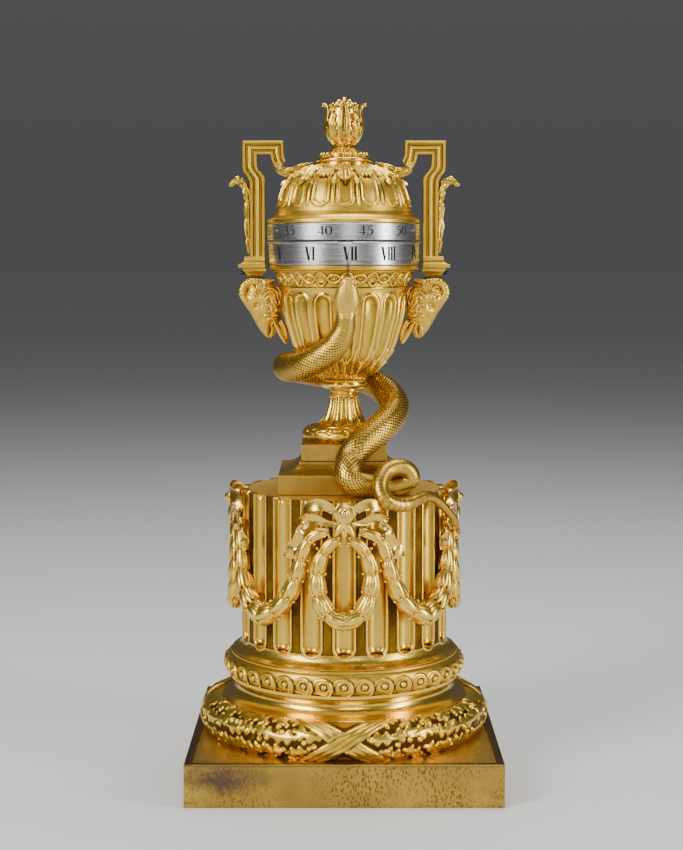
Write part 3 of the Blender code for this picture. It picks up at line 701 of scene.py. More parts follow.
def fluted_column():
    """Round-bottomed flutes with thin raised rims, cut into a drum that flares at its foot."""
    r, inside = COLUMN_RADIUS, COLUMN_RADIUS - 5.0
    shaft = straight([(r, COLUMN_TOP), (r, 112.0)], 2.5)
    shoe = straight([(r, 111.6), (r, 97.4)], 0.55)
    rows = np.vstack([straight([(inside, COLUMN_TOP), (r - 0.4, COLUMN_TOP)], 1.2), shaft, shoe,
                      straight([(inside, 97.4), (inside, 204.0)], 40.0)])
    band = Band(rows, 56 * FLUTES, r)
    pitch = TURN * r / FLUTES
    across = centred(band.s, pitch)
    bottom = 102.3
    reach = np.hypot(across, np.minimum(band.z - bottom, 0.0))
    outside = (band.radius > r - 0.1) + 0.0 * across
    top_cut = (band.z > COLUMN_TOP - 0.01) * (band.radius > inside + 0.5)
    band.high = flute(reach) * outside
    points = band.points()
    open_top = (top_cut * ridge(reach, 6.5))[..., None]
    inward = points * np.array([0.945, 0.945, 1.0])
    points = points * (1 - open_top) + inward * open_top
    land = (reach > 8.4) * outside
    # painted shade: the flute hollows darker than their rims, with dark lines along each crease
    tone = np.where(reach < 6.5, 0.66, 0.95) * (1 - land) + 0.2 * land
    tone = tone - 0.45 * np.exp(-((reach - 6.3) / 0.6) ** 2) - 0.3 * np.exp(-((reach - 8.6) / 0.4) ** 2)
    Piece("fluted_drum").grid(points, np.clip(tone, 0, 1), land, ring=True).make(
        FINISHES["hatched"], nodes=("fluted_column",), slot="gilt_bronze", sharp=60)

    foot = np.vstack([straight([(inside, 97.0), (r, 97.0)], 2.5)[:-1],
                      through([(r, 97.0), (75.3, 95.0), (76.6, 92.2), (79.0, 90.0), (82.3, 88.7)], 24),
                      straight([(82.6, 88.5), (82.5, 88.0), (inside, 88.0)], 6.0)])
    flare = Band(foot, 32 * FLUTES, r)
    reach = np.hypot(centred(flare.s, pitch), np.minimum(flare.z - bottom, 0.0))
    flare.high = flute(reach) * ((flare.radius > r - 0.1) & (flare.z > 91.0))
    Piece("column_foot_moulding").grid(flare.points(), 0.75, 0.25, ring=True).make(
        FINISHES["burnished"], nodes=("column_foot",), slot="gilt_bronze", sharp=50)

    disc = Band([(70.4, 206.0), (70.4, 206.3), (69.9, 206.35), (4.0, 206.35), (4.0, 202.0),
                 (60.0, 202.0), (70.0, 205.6)], 256, 60.0)
    Piece("column_top_disc").grid(disc.points(), 0.75, 0.6, ring=True).make(
        FINISHES["matt"], nodes=("column_top_plate",), slot="matt_gilt", sharp=30)


# ---------------------------------------------------------------- socle and foot

def socle():
    """Two square blocks; the lower one draws in over a hollow moulding to meet the upper."""
    cavetto = through([(45.6, 220.9), (40.5, 221.8), (36.0, 223.8), (33.2, 226.4), (32.0, 228.8)], 20)
    lower = np.vstack([[[4.0, 206.6], [46.9, 206.6]],
                       straight([(47.3, 207.0), (47.3, 220.2)], 2.0), [[47.15, 220.6], [46.8, 220.8]],
                       cavetto, [[4.0, 228.8]]])
    upper = np.vstack([[[4.0, 229.1], [30.6, 229.1]], straight([(30.9, 229.4), (30.9, 240.9)], 2.0),
                       [[30.6, 241.2], [4.0, 241.2]]])
    for name, rows, node in (("socle_lower", lower, "socle_block"),
                             ("socle_upper", upper, "socle_cap")):
        points = rounded_square(rows[:, 0], rows[:, 1], corner=0.35, side=30)
        # the socle's gilding is darker all over, and the lower block's upright faces darker than its
        # hollow top
        tone = np.where(rows[:, 0] > 46.0, 0.45, 0.62)[:, None]
        Piece(name).grid(points, tone, 0.15).make(
            FINISHES["dim_gilt"], nodes=(node,), slot="gilt_bronze", sharp=30)


def laurel_ring():
    """A ring of overlapping laurel leaves with berries, under the urn's foot."""
    outer = through([(20.0, 251.9), (24.6, 251.6), (28.2, 250.0), (29.5, 247.0), (28.6, 243.8),
                     (25.5, 241.8), (20.0, 241.5)], 50)
    radius, count = 28.5, 15
    band = Band(np.vstack([outer, [(8.0, 241.5), (8.0, 251.9)]]), 40 * count, radius)
    for step in range(count):
        s0 = step * TURN * radius / count
        for offset, lean in ((0.0, 0), (-5.0, -16), (5.0, 16)):
            band.stamp((s0, 13.0 + offset), lean, 17,
                       leaf(15.0, 6.4, 1.0 if offset else 1.25, point=1.0, edge=0.3))
        band.stamp((s0 + 3.0, 10.0), 0, 3, bead(1.0, 1.2))
        band.stamp((s0 + 3.0, 16.0), 0, 3, bead(1.0, 1.2))
    band.high[len(outer):] = 0.0
    band.high *= fade(0.0, 3.0, band.t) * (1 - fade(23.0, 27.0, band.t))
    # band.tone paints shade between the leaves and highlight on them
    Piece("foot_laurel_ring").grid(band.points(), band.tone(0.55, 0.9, 3), 0.0, ring=True).make(
        FINISHES["relief"], nodes=("laurel_ring",), slot="gilt_bronze", sharp=75)


def urn_foot():
    """A trumpet foot with hollow flutes that widen downwards, under a ring and a round collar."""
    trumpet = through([(10.7, 274.7), (10.9, 271.0), (11.9, 266.0), (14.6, 258.5), (18.5, 254.6),
                       (22.6, 253.2)], 70)
    rows = np.vstack([straight([(11.7, 279.3), (11.7, 278.4)], 0.4),
                      through([(11.3, 278.2), (9.9, 277.6), (9.3, 276.6), (10.0, 275.2)], 12),
                      trumpet, straight([(23.6, 253.0), (24.0, 252.7), (24.0, 252.2), (8.0, 252.2),
                                         (8.0, 279.3)], 12.0)])
    band = Band(rows, 30 * PETALS, 12.0)
    on = fade(274.3, 272.6, band.z) * fade(253.5, 254.8, band.z) * (band.radius > 9.0)
    cut = np.abs(np.sin(band.angle * PETALS / 2)) ** 0.8
    band.high = -0.11 * band.radius * cut * on
    # the deepest part of each flute is darker, as painted shade
    Piece("fluted_foot").grid(band.points(), 0.9 - 0.5 * cut * on, 0.0, ring=True).make(
        FINISHES["burnished"], nodes=("urn_foot",), slot="gilt_bronze", sharp=60)

    rows = np.vstack([straight([(6.0, 286.9), (13.4, 286.9)], 4.0),
                      arc((13.9, 283.3), 3.5, 88, -88, 30),
                      straight([(13.0, 279.6), (6.0, 279.6)], 4.0)])
    collar = Band(rows, 240, 15.0)
    Piece("round_collar").grid(collar.points(), 0.95, 0.0, ring=True).make(
        FINISHES["burnished"], nodes=("foot_collar",), slot="gilt_bronze", sharp=50)


# ---------------------------------------------------------------- the urn

def urn_bowl():
    """Hollow flutes with arched, rimmed tops, over lobed leaves that rise from the bowl's foot."""
    outer = np.vstack([
        straight([(44.5, 354.7), (46.9, 354.6), (46.9, 353.9), (46.4, 353.6), (46.4, 353.0)], 0.4)[:-1],
        through([(46.2, 352.9), (45.7, 350.0), (45.3, 345.0), (44.9, 340.0), (44.2, 334.5),
                 (42.9, 329.0), (41.1, 323.7), (37.3, 311.8), (32.9, 304.4), (27.7, 298.1),
                 (22.4, 292.6), (17.5, 289.2), (14.2, 287.3)], 100)])
    inside = straight([(14.2, 287.2), (10.0, 287.2), (36.0, 318.0), (39.5, 354.7)], 40.0)
    radius, half = 45.0, 5.1
    band = Band(np.vstack([outer, inside]), 40 * PETALS, radius)
    shrink = np.clip(band.radius / radius, 0.2, 1.05)
    across = centred(band.s - URN_TURN * radius, TURN * radius / PETALS) * shrink
    above = np.maximum(band.z - (348.6 - half), 0.0)
    reach = np.hypot(across, above) / (half * shrink)
    rims = 0.75 * ridge(reach - 1.22, 0.22) + 0.35 * ridge(reach - 0.92, 0.09)
    band.high = rims * fade(298.0, 310.0, band.z) - 2.1 * ridge(reach, 1.0) * fade(296.0, 312.0, band.z)
    foot = float(band.t[np.argmin(np.abs(outer[:, 1] - 287.3)), 0])

    def water_leaf(turn, tip, wide, rise):
        """A lobed leaf rising from the foot: a sine outline that widens upwards, folded at its midrib."""
        along = (foot - band.t) / tip
        off = band.round(band.s - turn * radius) * shrink
        run = np.clip(along, 1e-6, 1 - 1e-6)
        outline = wide * np.sin(np.pi * (0.18 + 0.82 * run)) ** 0.7 * (0.45 + 0.75 * run)
        outline = outline * (0.93 + 0.09 * np.cos(TURN * 3 * run))
        x = np.abs(off) / np.maximum(outline, 1e-6)
        fold = 0.55 + 0.45 * np.cos(x * 4.4) + 0.35 * np.exp(-(off / 0.5) ** 2)
        body = rise * (0.45 + 0.55 * run) * fold
        return np.where((along > 0) & (along < 1) & (x < 1), np.maximum(body, 0.35 * rise) + 0.3, -9.0)

    for shift, tip, wide, rise in ((0.5, 32.5, 5.4, 1.15), (0.0, 22.0, 4.3, 1.6)):
        for step in range(PETALS):
            turn = URN_TURN + (step + shift) * TURN / PETALS
            band.high = np.maximum(band.high, water_leaf(turn, tip, wide, rise))
    band.high[len(outer) - 2:] = 0.0
    band.high[:12] = 0.0
    # band.tone paints shade in the flutes and round the leaves, and highlight on the rims and leaves
    Piece("fluted_bowl").grid(band.points(), band.tone(0.62, 0.75, 5), 0.0, ring=True).make(
        FINISHES["burnished"], nodes=("urn_bowl",), slot="gilt_bronze", sharp=70)


def bowl_frieze():
    """Oval medallions and small rings held by two crossing bands, under a plain lip."""
    flare = through([(51.6, 366.5), (49.3, 364.0), (47.9, 361.0), (47.1, 357.5), (46.9, 355.0)], 48)
    outer = np.vstack([straight([(54.0, 370.5), (55.2, 370.4), (55.4, 370.0), (55.4, 367.6),
                                 (55.0, 367.1), (51.9, 366.9)], 0.35)[:-1], flare])
    inside = straight([(46.5, 354.9), (42.5, 355.0), (42.5, 363.0), (51.5, 368.0)], 9.0)
    radius = 49.0
    band = Band(np.vstack([outer, inside]), 900, radius)
    first = len(outer) - len(flare)
    middle = float(band.t[first:len(outer)].mean())
    up = -(band.t - middle)
    turn = band.angle - URN_TURN
    swing = np.cos(PETALS * turn)
    spread = 4.3 + 1.0 * swing
    strands = 0.0
    for sign in (1, -1):
        line = sign * spread * swing
        slope = np.hypot(1.0, PETALS * spread * np.sin(PETALS * turn) / radius)
        strands = np.maximum(strands, ridge((up - line) / slope, 0.95))
    width = TURN * radius / PETALS
    s = centred(band.s - URN_TURN * radius, width)
    oval = np.hypot(s / 4.5, up / 2.9)
    medal = np.where(oval < 1, 0.9 - 0.7 * ridge(oval, 0.95), 0.0) + 0.6 * ridge(oval - 1.0, 0.2)
    small = np.hypot(np.abs(s) - width / 2, up)
    button = 1.5 * ridge(small, 1.2) + 0.7 * ridge(small - 2.0, 0.5)
    on = np.zeros_like(band.high)
    on[first:len(outer) - 1] = 1.0
    band.high = np.maximum(strands, np.maximum(medal, button)) * on * lane(up, 5.6, 0.4)
    rim = 0.5 * (np.abs(np.abs(up) - 6.1) < 0.35) * on
    band.high = np.maximum(band.high, rim)
    # band.tone paints shade round the bands and medallions and highlight on them
    Piece("frieze_and_lip").grid(band.points(), band.tone(0.50, 1.3, 4), 0.3 * on, ring=True).make(
        FINISHES["relief"], nodes=("bowl_frieze",), slot="gilt_bronze", sharp=60)


def lid():
    """A dome of upright ovals between darts, under hanging acanthus leaves and shells."""
    rim = straight([(55.6, 400.8), (56.2, 401.1), (56.2, 403.4), (55.6, 404.0)], 0.4)[:-1]
    cove = through([(55.6, 404.0), (53.2, 404.9), (51.2, 406.6), (49.9, 409.0)], 18)
    dome = through([(49.5, 409.4), (48.8, 412.0), (47.8, 416.7), (46.1, 423.0), (43.2, 429.2),
                    (39.0, 434.0), (34.0, 437.6), (28.0, 440.3), (21.0, 442.2)], 84)
    outer = np.vstack([rim, cove, dome])[::-1]
    inner = straight([(53.0, 400.9), (46.2, 408.0), (42.5, 422.6), (28.5, 436.2), (5.0, 438.8),
                      (5.0, 442.2)], 14.0)
    radius, turn0 = 47.0, math.radians(1.2)
    band = Band(np.vstack([outer, inner]), 40 * PETALS, radius)
    width = TURN * radius / PETALS
    shrink = np.clip(band.radius / radius, 0.2, 1.05)
    s = centred(band.s - turn0 * radius, width) * shrink
    centre = float(band.t[np.argmin(np.abs(outer[:, 1] - 418.6)), 0])
    up = centre - band.t
    reach = np.hypot(s / shrink, np.minimum(up, 0.0))
    hoop = 0.95 * ridge(reach - 6.0, 0.65) + 0.5 * ridge(reach - 4.4, 0.4)
    dish = 0.35 * (reach < 6.0) - 0.75 * ridge(reach, 4.1) * (reach < 4.1)
    gap = np.abs(np.abs(s) - width / 2 * shrink)
    dart = 0.95 * ridge(gap, 1.25 * np.sqrt(np.clip(1 - ((up - 3.0) / 9.0) ** 2, 0.01, 1)))
    band.high = np.maximum(hoop + dish, dart * (np.abs(up - 3.0) < 9.0)) * (band.radius < 49.4)
    top = float(band.t[0, 0])

    def hanging(turn, tip, wide, rise, lobes, fan=False):
        """A leaf or a ribbed shell hanging from the crown, with its tip curled out."""
        off = band.round(band.s - turn * radius) * shrink
        along = (band.t - top) / tip
        if fan:
            along = along * (1 + 0.11 * np.abs(np.sin(off * np.pi / 2.9)))
        run = np.clip(along, 1e-6, 1 - 1e-6)
        if fan:
            outline = wide * (0.3 + 0.7 * run) * (1 - run ** 14) ** 0.5
            veins = 0.55 * np.cos(off * TURN / 2.9) * np.clip(run * 1.4 - 0.3, 0, 1)
        else:
            outline = wide * (0.3 + 0.7 * np.sin(np.pi * run ** 0.85)) * (1 - run ** 5)
            outline = outline * (0.78 + 0.22 * np.cos(TURN * lobes * run - 0.6))
            veins = 0.4 * np.cos(np.abs(off) * 2.6 - 11 * run) * np.clip(np.abs(off) / 2.5, 0, 1)
        x = np.abs(off) / np.maximum(outline, 1e-6)
        rib = 0.6 * np.exp(-(off / 0.6) ** 2) - 0.5 * np.exp(-((np.abs(off) - 1.4) / 0.5) ** 2)
        curl = np.exp(-((run - 0.92) / 0.08) ** 2)
        body = rise * (0.7 + 0.35 * ridge(x, 1.0)) + veins + (0 if fan else 1) * rib + curl
        return np.where((along > 0) & (along < 1) & (x < 1), np.maximum(body, 0.4), -9.0)

    for step in range(8):
        turn = turn0 + (step + 0.5) * TURN / 8
        band.high = np.maximum(band.high, hanging(turn, 21.5, 7.6, 1.3, 0.0, fan=True))
    for step in range(8):
        turn = turn0 + step * TURN / 8
        band.high = np.maximum(band.high, hanging(turn, 28.5, 8.6, 1.75, 3.0))
    band.high[len(outer) - 30:] = 0.0
    band.high[:2] = 0.0
    ground = (band.high < 0.1) * (band.radius < 49.5)
    # band.tone paints shade round the ovals, darts and leaves and highlight on them
    Piece("lid_dome").grid(band.points(), band.tone(0.56, 1.0, 4), 0.3 * ground, ring=True).make(
        FINISHES["relief"], body="cover", nodes=("lid",), slot="lid_gilt", sharp=70)


def finial():
    """A beaded and domed collar under a bud of eight leaves that curl out round berries."""
    piece = Piece("leaf_bud_finial")
    stem = np.vstack([
        straight([(3.0, 442.4), (20.0, 442.4)], 4.0)[:-1],
        straight([(20.2, 442.6), (20.2, 445.2)], 0.8),
        arc((19.6, 446.9), 1.6, -80, 80, 14), straight([(17.6, 448.7), (16.4, 449.2)], 0.5),
        arc((16.2, 451.2), 0.9, -80, 80, 8),
        through([(14.6, 452.6), (12.6, 453.2), (9.6, 455.4), (7.7, 458.4), (7.2, 459.6), (8.4, 461.2),
                 (11.0, 465.0), (12.0, 470.0), (11.6, 478.0), (10.6, 485.0), (7.0, 488.0),
                 (0.3, 489.0)], 70)])
    body = Band(stem[::-1], 200, 12.0)
    body.high = 0.35 * np.abs(np.cos(8 * body.angle)) * lane(body.z - 456.0, 2.4, 0.8)
    piece.grid(body.points(), 0.75)
    ball = unit_ball(10, 12)
    place = round_axis(16.9, np.radians(np.arange(24) * 15.0), 451.2)
    piece.grid(ball[None] * 1.35 + place[:, None, None, :], 0.9)
    run, side = np.linspace(0, 1, 28)[:, None], np.linspace(-1, 1, 21)[None, :]
    for start in (0, 45):
        if start == 0:
            spine = through([(7.4, 459.3), (11.4, 463.5), (13.6, 469.5), (13.6, 476.0), (12.8, 482.0),
                             (13.6, 486.4), (16.3, 486.6)], len(run))
            half = 5.3 * (0.35 + 0.65 * np.sin(np.pi * run ** 0.8)) * (1 - 0.75 * run ** 4)
            lift = 0.55 * np.cos(side * 7.0) * (1 - run ** 3) + 0.5 * np.exp(-(side / 0.12) ** 2)
        else:
            spine = through([(7.8, 459.5), (12.2, 463.5), (14.6, 469.0), (14.9, 474.5), (13.9, 480.0),
                             (13.1, 484.0), (14.2, 487.0)], len(run))
            half = 5.6 * (0.4 + 0.6 * np.sin(np.pi * run ** 0.85)) * (0.8 + 0.2 * np.cos(TURN * 4.5 * run))
            half = half * (1 - 0.8 * run ** 5)
            veins = 0.5 * np.cos(9 * np.abs(side) - 16 * run) * np.abs(side)
            lift = veins + 0.7 * np.exp(-(side / 0.15) ** 2)
        normal = outward(spine[::-1])[::-1]
        bow = -0.9 * side ** 2
        # painted highlight on each leaf's raised ribs and veins, painted shade between them
        tone = np.clip(0.62 + 0.5 * np.concatenate([lift, 0 * lift], 1), 0, 1)
        for turn in np.radians(start + 90 * np.arange(4)):
            angle = turn + side * half / np.maximum(spine[:, :1], 6.0)
            outer, inner = (round_axis(spine[:, :1] + normal[:, :1] * off, angle,
                                       spine[:, 1:] + normal[:, 1:] * off)
                            for off in (lift + bow, bow - 0.9))
            piece.grid(np.concatenate([outer, inner[:, ::-1]], axis=1), tone)
    cluster = [(0.0, 0.0, 490.4, 2.9)]
    cluster += [(4.6, step * 60.0, 488.8, 2.6) for step in range(6)]
    cluster += [(8.3, 15 + step * 30.0, 486.6, 2.3) for step in range(12)]
    for radius, degrees, height, size in cluster:
        place = round_axis(radius, math.radians(degrees), height)
        piece.grid(ball * size + place, 0.8)
    piece.make(FINISHES["burnished"], body="cover", nodes=("finial",), slot="lid_gilt", sharp=70)


def unit_ball(rows, columns):
    """A ball of radius 1: height is the cosine of one angle, and the other goes round."""
    up = np.linspace(0.03, np.pi - 0.03, rows)[:, None]
    turn = around(columns)
    return np.stack(np.broadcast_arrays(np.sin(up) * np.cos(turn), np.sin(up) * np.sin(turn),
                                        np.cos(up)), -1)


# ---------------------------------------------------------------- the dial rings

# Strokes of (across, up, width) in numeral heights; a letter also has its width and where its serifs sit.
DIGITS = {
    "0": [[(0.50, 0.96, .07), (0.25, 0.88, .12), (0.10, 0.62, .22), (0.10, 0.36, .22),
           (0.24, 0.10, .12), (0.48, 0.02, .07), (0.74, 0.12, .12), (0.88, 0.40, .2),
           (0.88, 0.64, .2), (0.76, 0.88, .12), (0.50, 0.96, .07)]],
    "1": [[(0.5, 0.0, .17), (0.5, 0.5, .17), (0.5, 1.0, .17)], [(0.3, 0.82, .05), (0.5, 0.98, .1)],
          [(0.28, 0.02, .06), (0.72, 0.02, .06)]],
    "2": [[(0.14, 0.72, .16), (0.22, 0.9, .1), (0.48, 0.98, .08), (0.78, 0.84, .16), (0.78, 0.62, .18),
           (0.5, 0.34, .11), (0.12, 0.05, .08)],
          [(0.1, 0.06, .09), (0.9, 0.06, .11), (0.94, 0.24, .05)]],
    "3": [[(0.16, 0.84, .14), (0.44, 0.98, .08), (0.76, 0.84, .16), (0.7, 0.62, .12), (0.38, 0.54, .06)],
          [(0.38, 0.54, .06), (0.72, 0.46, .12), (0.86, 0.24, .2), (0.6, 0.02, .09), (0.22, 0.02, .08),
           (0.1, 0.16, .15)]],
    "4": [[(0.66, 1.0, .06), (0.34, 0.62, .06), (0.04, 0.28, .06)], [(0.02, 0.27, .08), (0.98, 0.27, .08)],
          [(0.68, 1.0, .17), (0.68, 0.5, .17), (0.68, 0.0, .17)], [(0.5, 0.02, .05), (0.86, 0.02, .05)]],
    "5": [[(0.28, 0.93, .1), (0.84, 0.99, .14)], [(0.27, 0.95, .06), (0.2, 0.58, .06)],
          [(0.2, 0.58, .06), (0.5, 0.66, .08), (0.84, 0.5, .17), (0.84, 0.24, .2), (0.54, 0.0, .09),
           (0.18, 0.02, .08), (0.08, 0.14, .15)]],
    "6": [[(0.84, 0.9, .13), (0.56, 0.98, .07), (0.24, 0.78, .12), (0.1, 0.4, .21), (0.24, 0.08, .13),
           (0.5, 0.0, .07), (0.84, 0.14, .16), (0.86, 0.4, .18), (0.56, 0.58, .07), (0.2, 0.44, .07)]],
}
ROMANS = ("I", "II", "III", "IIII", "V", "VI", "VII", "VIII", "IX", "X", "XI", "XII")
STROKES = {
    "I": (0.26, [[(0.0, 0.0, .165), (0.0, 1.0, .165)]], (0.0,)),
    "V": (0.52, [[(-0.17, 1.0, .2), (0.03, 0.0, .17)], [(0.20, 1.0, .05), (0.05, 0.0, .05)]],
          (-0.17, 0.2)),
    "X": (0.56, [[(-0.2, 1.0, .19), (0.2, 0.0, .19)], [(0.19, 1.0, .05), (-0.19, 0.0, .05)]],
          (-0.19, 0.19)),
}


class Marks:
    """Flat strokes of dark wax on a ring: each is a strip along a path, bent round the axis."""

    def __init__(self, name, radius):
        self.piece = Piece(name)
        self.radius = radius

    def stroke(self, path):
        """path rows are (distance round, height, width); the strip is 0.1 mm thick."""
        path = np.asarray(path, float)
        step = np.gradient(path[:, :2], axis=0)
        side = np.stack([-step[:, 1], step[:, 0]], 1) / np.linalg.norm(step, axis=1, keepdims=True)
        left, right = path[:, :2] + side * path[:, 2:] / 2, path[:, :2] - side * path[:, 2:] / 2
        flat = np.stack([left, right, right, left], 1)
        radius = self.radius + np.array([0.06, 0.06, -0.04, -0.04])
        self.piece.grid(round_axis(radius, flat[..., 0] / self.radius, flat[..., 1]))

    def arabic(self, value, turn, low, high):
        """A number centred on an angle, from low up to high."""
        size, text = high - low, str(value)
        wide, gap = 0.76 * size, 0.86 * size
        start = turn * self.radius - gap * (len(text) - 1) / 2 - wide / 2
        for place, digit in enumerate(text):
            for knots in DIGITS[digit]:
                rows = through(knots, 6 * len(knots)) if len(knots) > 3 else straight(knots, 0.3)
                self.stroke(np.stack([start + place * gap + rows[:, 0] * wide, low + rows[:, 1] * size,
                                      rows[:, 2] * size * 0.92], 1))

    def roman(self, value, turn, low, high):
        """An hour in letters centred on an angle, with serifs."""
        size, text = high - low, ROMANS[value - 1]
        wide = [STROKES[letter][0] for letter in text]
        at = turn * self.radius - sum(wide) * size / 2
        for letter, room in zip(text, wide):
            middle = at + room * size / 2
            for knots in STROKES[letter][1]:
                rows = [(middle + x * size, low + z * size, width * size) for x, z, width in knots]
                self.stroke(rows)
            for x in STROKES[letter][2]:
                for z in ((0, 1) if letter != "V" else (1,)):
                    self.stroke([(middle + (x - 0.13) * size, low + z * size, 0.22),
                                 (middle + (x + 0.13) * size, low + z * size, 0.22)])
            at += room * size

    def ticks(self, turns, low, high, width=0.2):
        """Upright marks at the angles, from low up to high."""
        for turn in turns:
            self.stroke([(turn * self.radius, low, width), (turn * self.radius, high, width)])

    def line(self, height, width=0.14):
        """A thin ring line all the way round, laid as two half turns that meet."""
        for start in (0.0, 0.5):
            turn = np.linspace(start, start + 0.5, 120) * TURN
            self.stroke(np.stack([turn * self.radius, 0 * turn + height, 0 * turn + width], 1))


def dial_rings():
    """Two silvered rings, one over the other, engraved with hours and with minutes."""
    inside = RING_RADIUS - 2.6

    def ring(name, body, outer, notch):
        """A short tube: the outer face's profile, closed by a plain inside, notched at its upper edge."""
        low, high = outer[-1][1], outer[0][1]
        rows = np.vstack([straight(outer, 0.9), straight([(inside, low), (inside, high)], 5.0)])
        band = Band(rows, 480, RING_RADIUS)
        cut = np.abs(band.s - 0.9) < 4.6
        band.high = np.where(cut & (band.z > high - notch) & (band.radius > inside + 1), -1.1, 0.0)
        Piece(f"silvered_{name}").grid(band.points(), ring=True).make(
            FINISHES["silver"], body=body, nodes=(name,), slot="silvered_brass", sharp=35)

    r = RING_RADIUS
    ring("hour_ring", "hour_dial", [
        (r + 0.6, 387.2), (r + 0.9, 386.9), (r + 0.9, 386.3), (r + 0.1, 385.9), (r, 385.8),
        (r, 371.1), (r - 0.3, 370.8)], 1.0)
    r += 0.5
    ring("minute_ring", "minute_dial", [
        (r - 0.3, 400.5), (r, 400.2), (r, 388.8), (r - 0.3, 388.5)], 0.0)

    hours = Marks("hour_numerals", RING_RADIUS)
    for hour in range(1, 13):
        hours.roman(hour, math.radians(4.5 + 30 * (hour - 7)), 374.1, 383.8)
    hours.ticks(np.radians(4.5 + 7.5 * np.arange(48)), 371.2, 373.3)
    hours.line(373.3)
    hours.piece.make(FINISHES["wax"], body="hour_dial", slot="silvered_brass")
    minutes = Marks("minute_numerals", r)
    for minute in range(5, 65, 5):
        minutes.arabic(minute, math.radians(16 + 6 * (minute - 45)), 391.9, 398.5)
    minutes.ticks(np.radians(4 + 6.0 * np.arange(60)), 388.9, 390.7)
    minutes.line(390.7)
    minutes.piece.make(FINISHES["wax"], body="minute_dial", slot="silvered_brass")
    dots = round_axis(r, np.radians(1 + 30.0 * np.arange(12)), 395.2)
    Piece("minute_dots").grid(unit_ball(9, 12) * 0.45 + dots[:, None, None, :]).make(
        FINISHES["silver"], body="minute_dial", slot="silvered_brass")


def pointer():
    """A thin blued rod that rises from the snout to a small barbed tip."""
    shaft = straight([(0.0, 363.0), (0.42, 363.1), (0.42, 369.4), (0.35, 370.0), (1.1, 369.6),
                      (0.75, 371.0), (0.05, 374.0)], 0.6)
    turn = around(14)
    place = np.stack(np.broadcast_arrays(2.8 + shaft[:, :1] * np.cos(turn),
                                         -58.6 + 0.6 * shaft[:, :1] * np.sin(turn), shaft[:, 1:]), -1)
    Piece("pointer_tip").grid(place).make(FINISHES["blued"], nodes=("pointer",), slot="blued_steel")


# ---------------------------------------------------------------- handles and brackets

def slab(rows, side=1, corner=0.35):
    """Rounded oblongs stacked up: rows are (low x, high x, half depth, height)."""
    rows = np.asarray(rows, float)[:, None, :]
    turn = np.radians(np.concatenate([90 * k + np.linspace(2, 88, 5) for k in range(4)]))
    core_x = np.where(np.cos(turn) > 0, rows[..., 1] - corner, rows[..., 0] + corner)
    core_y = np.sign(np.sin(turn)) * (rows[..., 2] - corner)
    return np.stack([side * (core_x + corner * np.cos(turn)), core_y + corner * np.sin(turn),
                     np.broadcast_to(rows[..., 3], core_x.shape)], -1)


def curled_leaf(spine, normal, thick, wide, ribs, side):
    """A ribbed ellipse swept along a spine in the x-z plane, wide along y and thick along its normal."""
    turn = around(ribs.shape[1])
    lift = thick * np.sin(turn) * ribs
    return np.stack([side * (spine[:, :1] + normal[:, :1] * lift), wide * np.cos(turn) * ribs,
                     spine[:, 1:] + normal[:, 1:] * lift], -1)


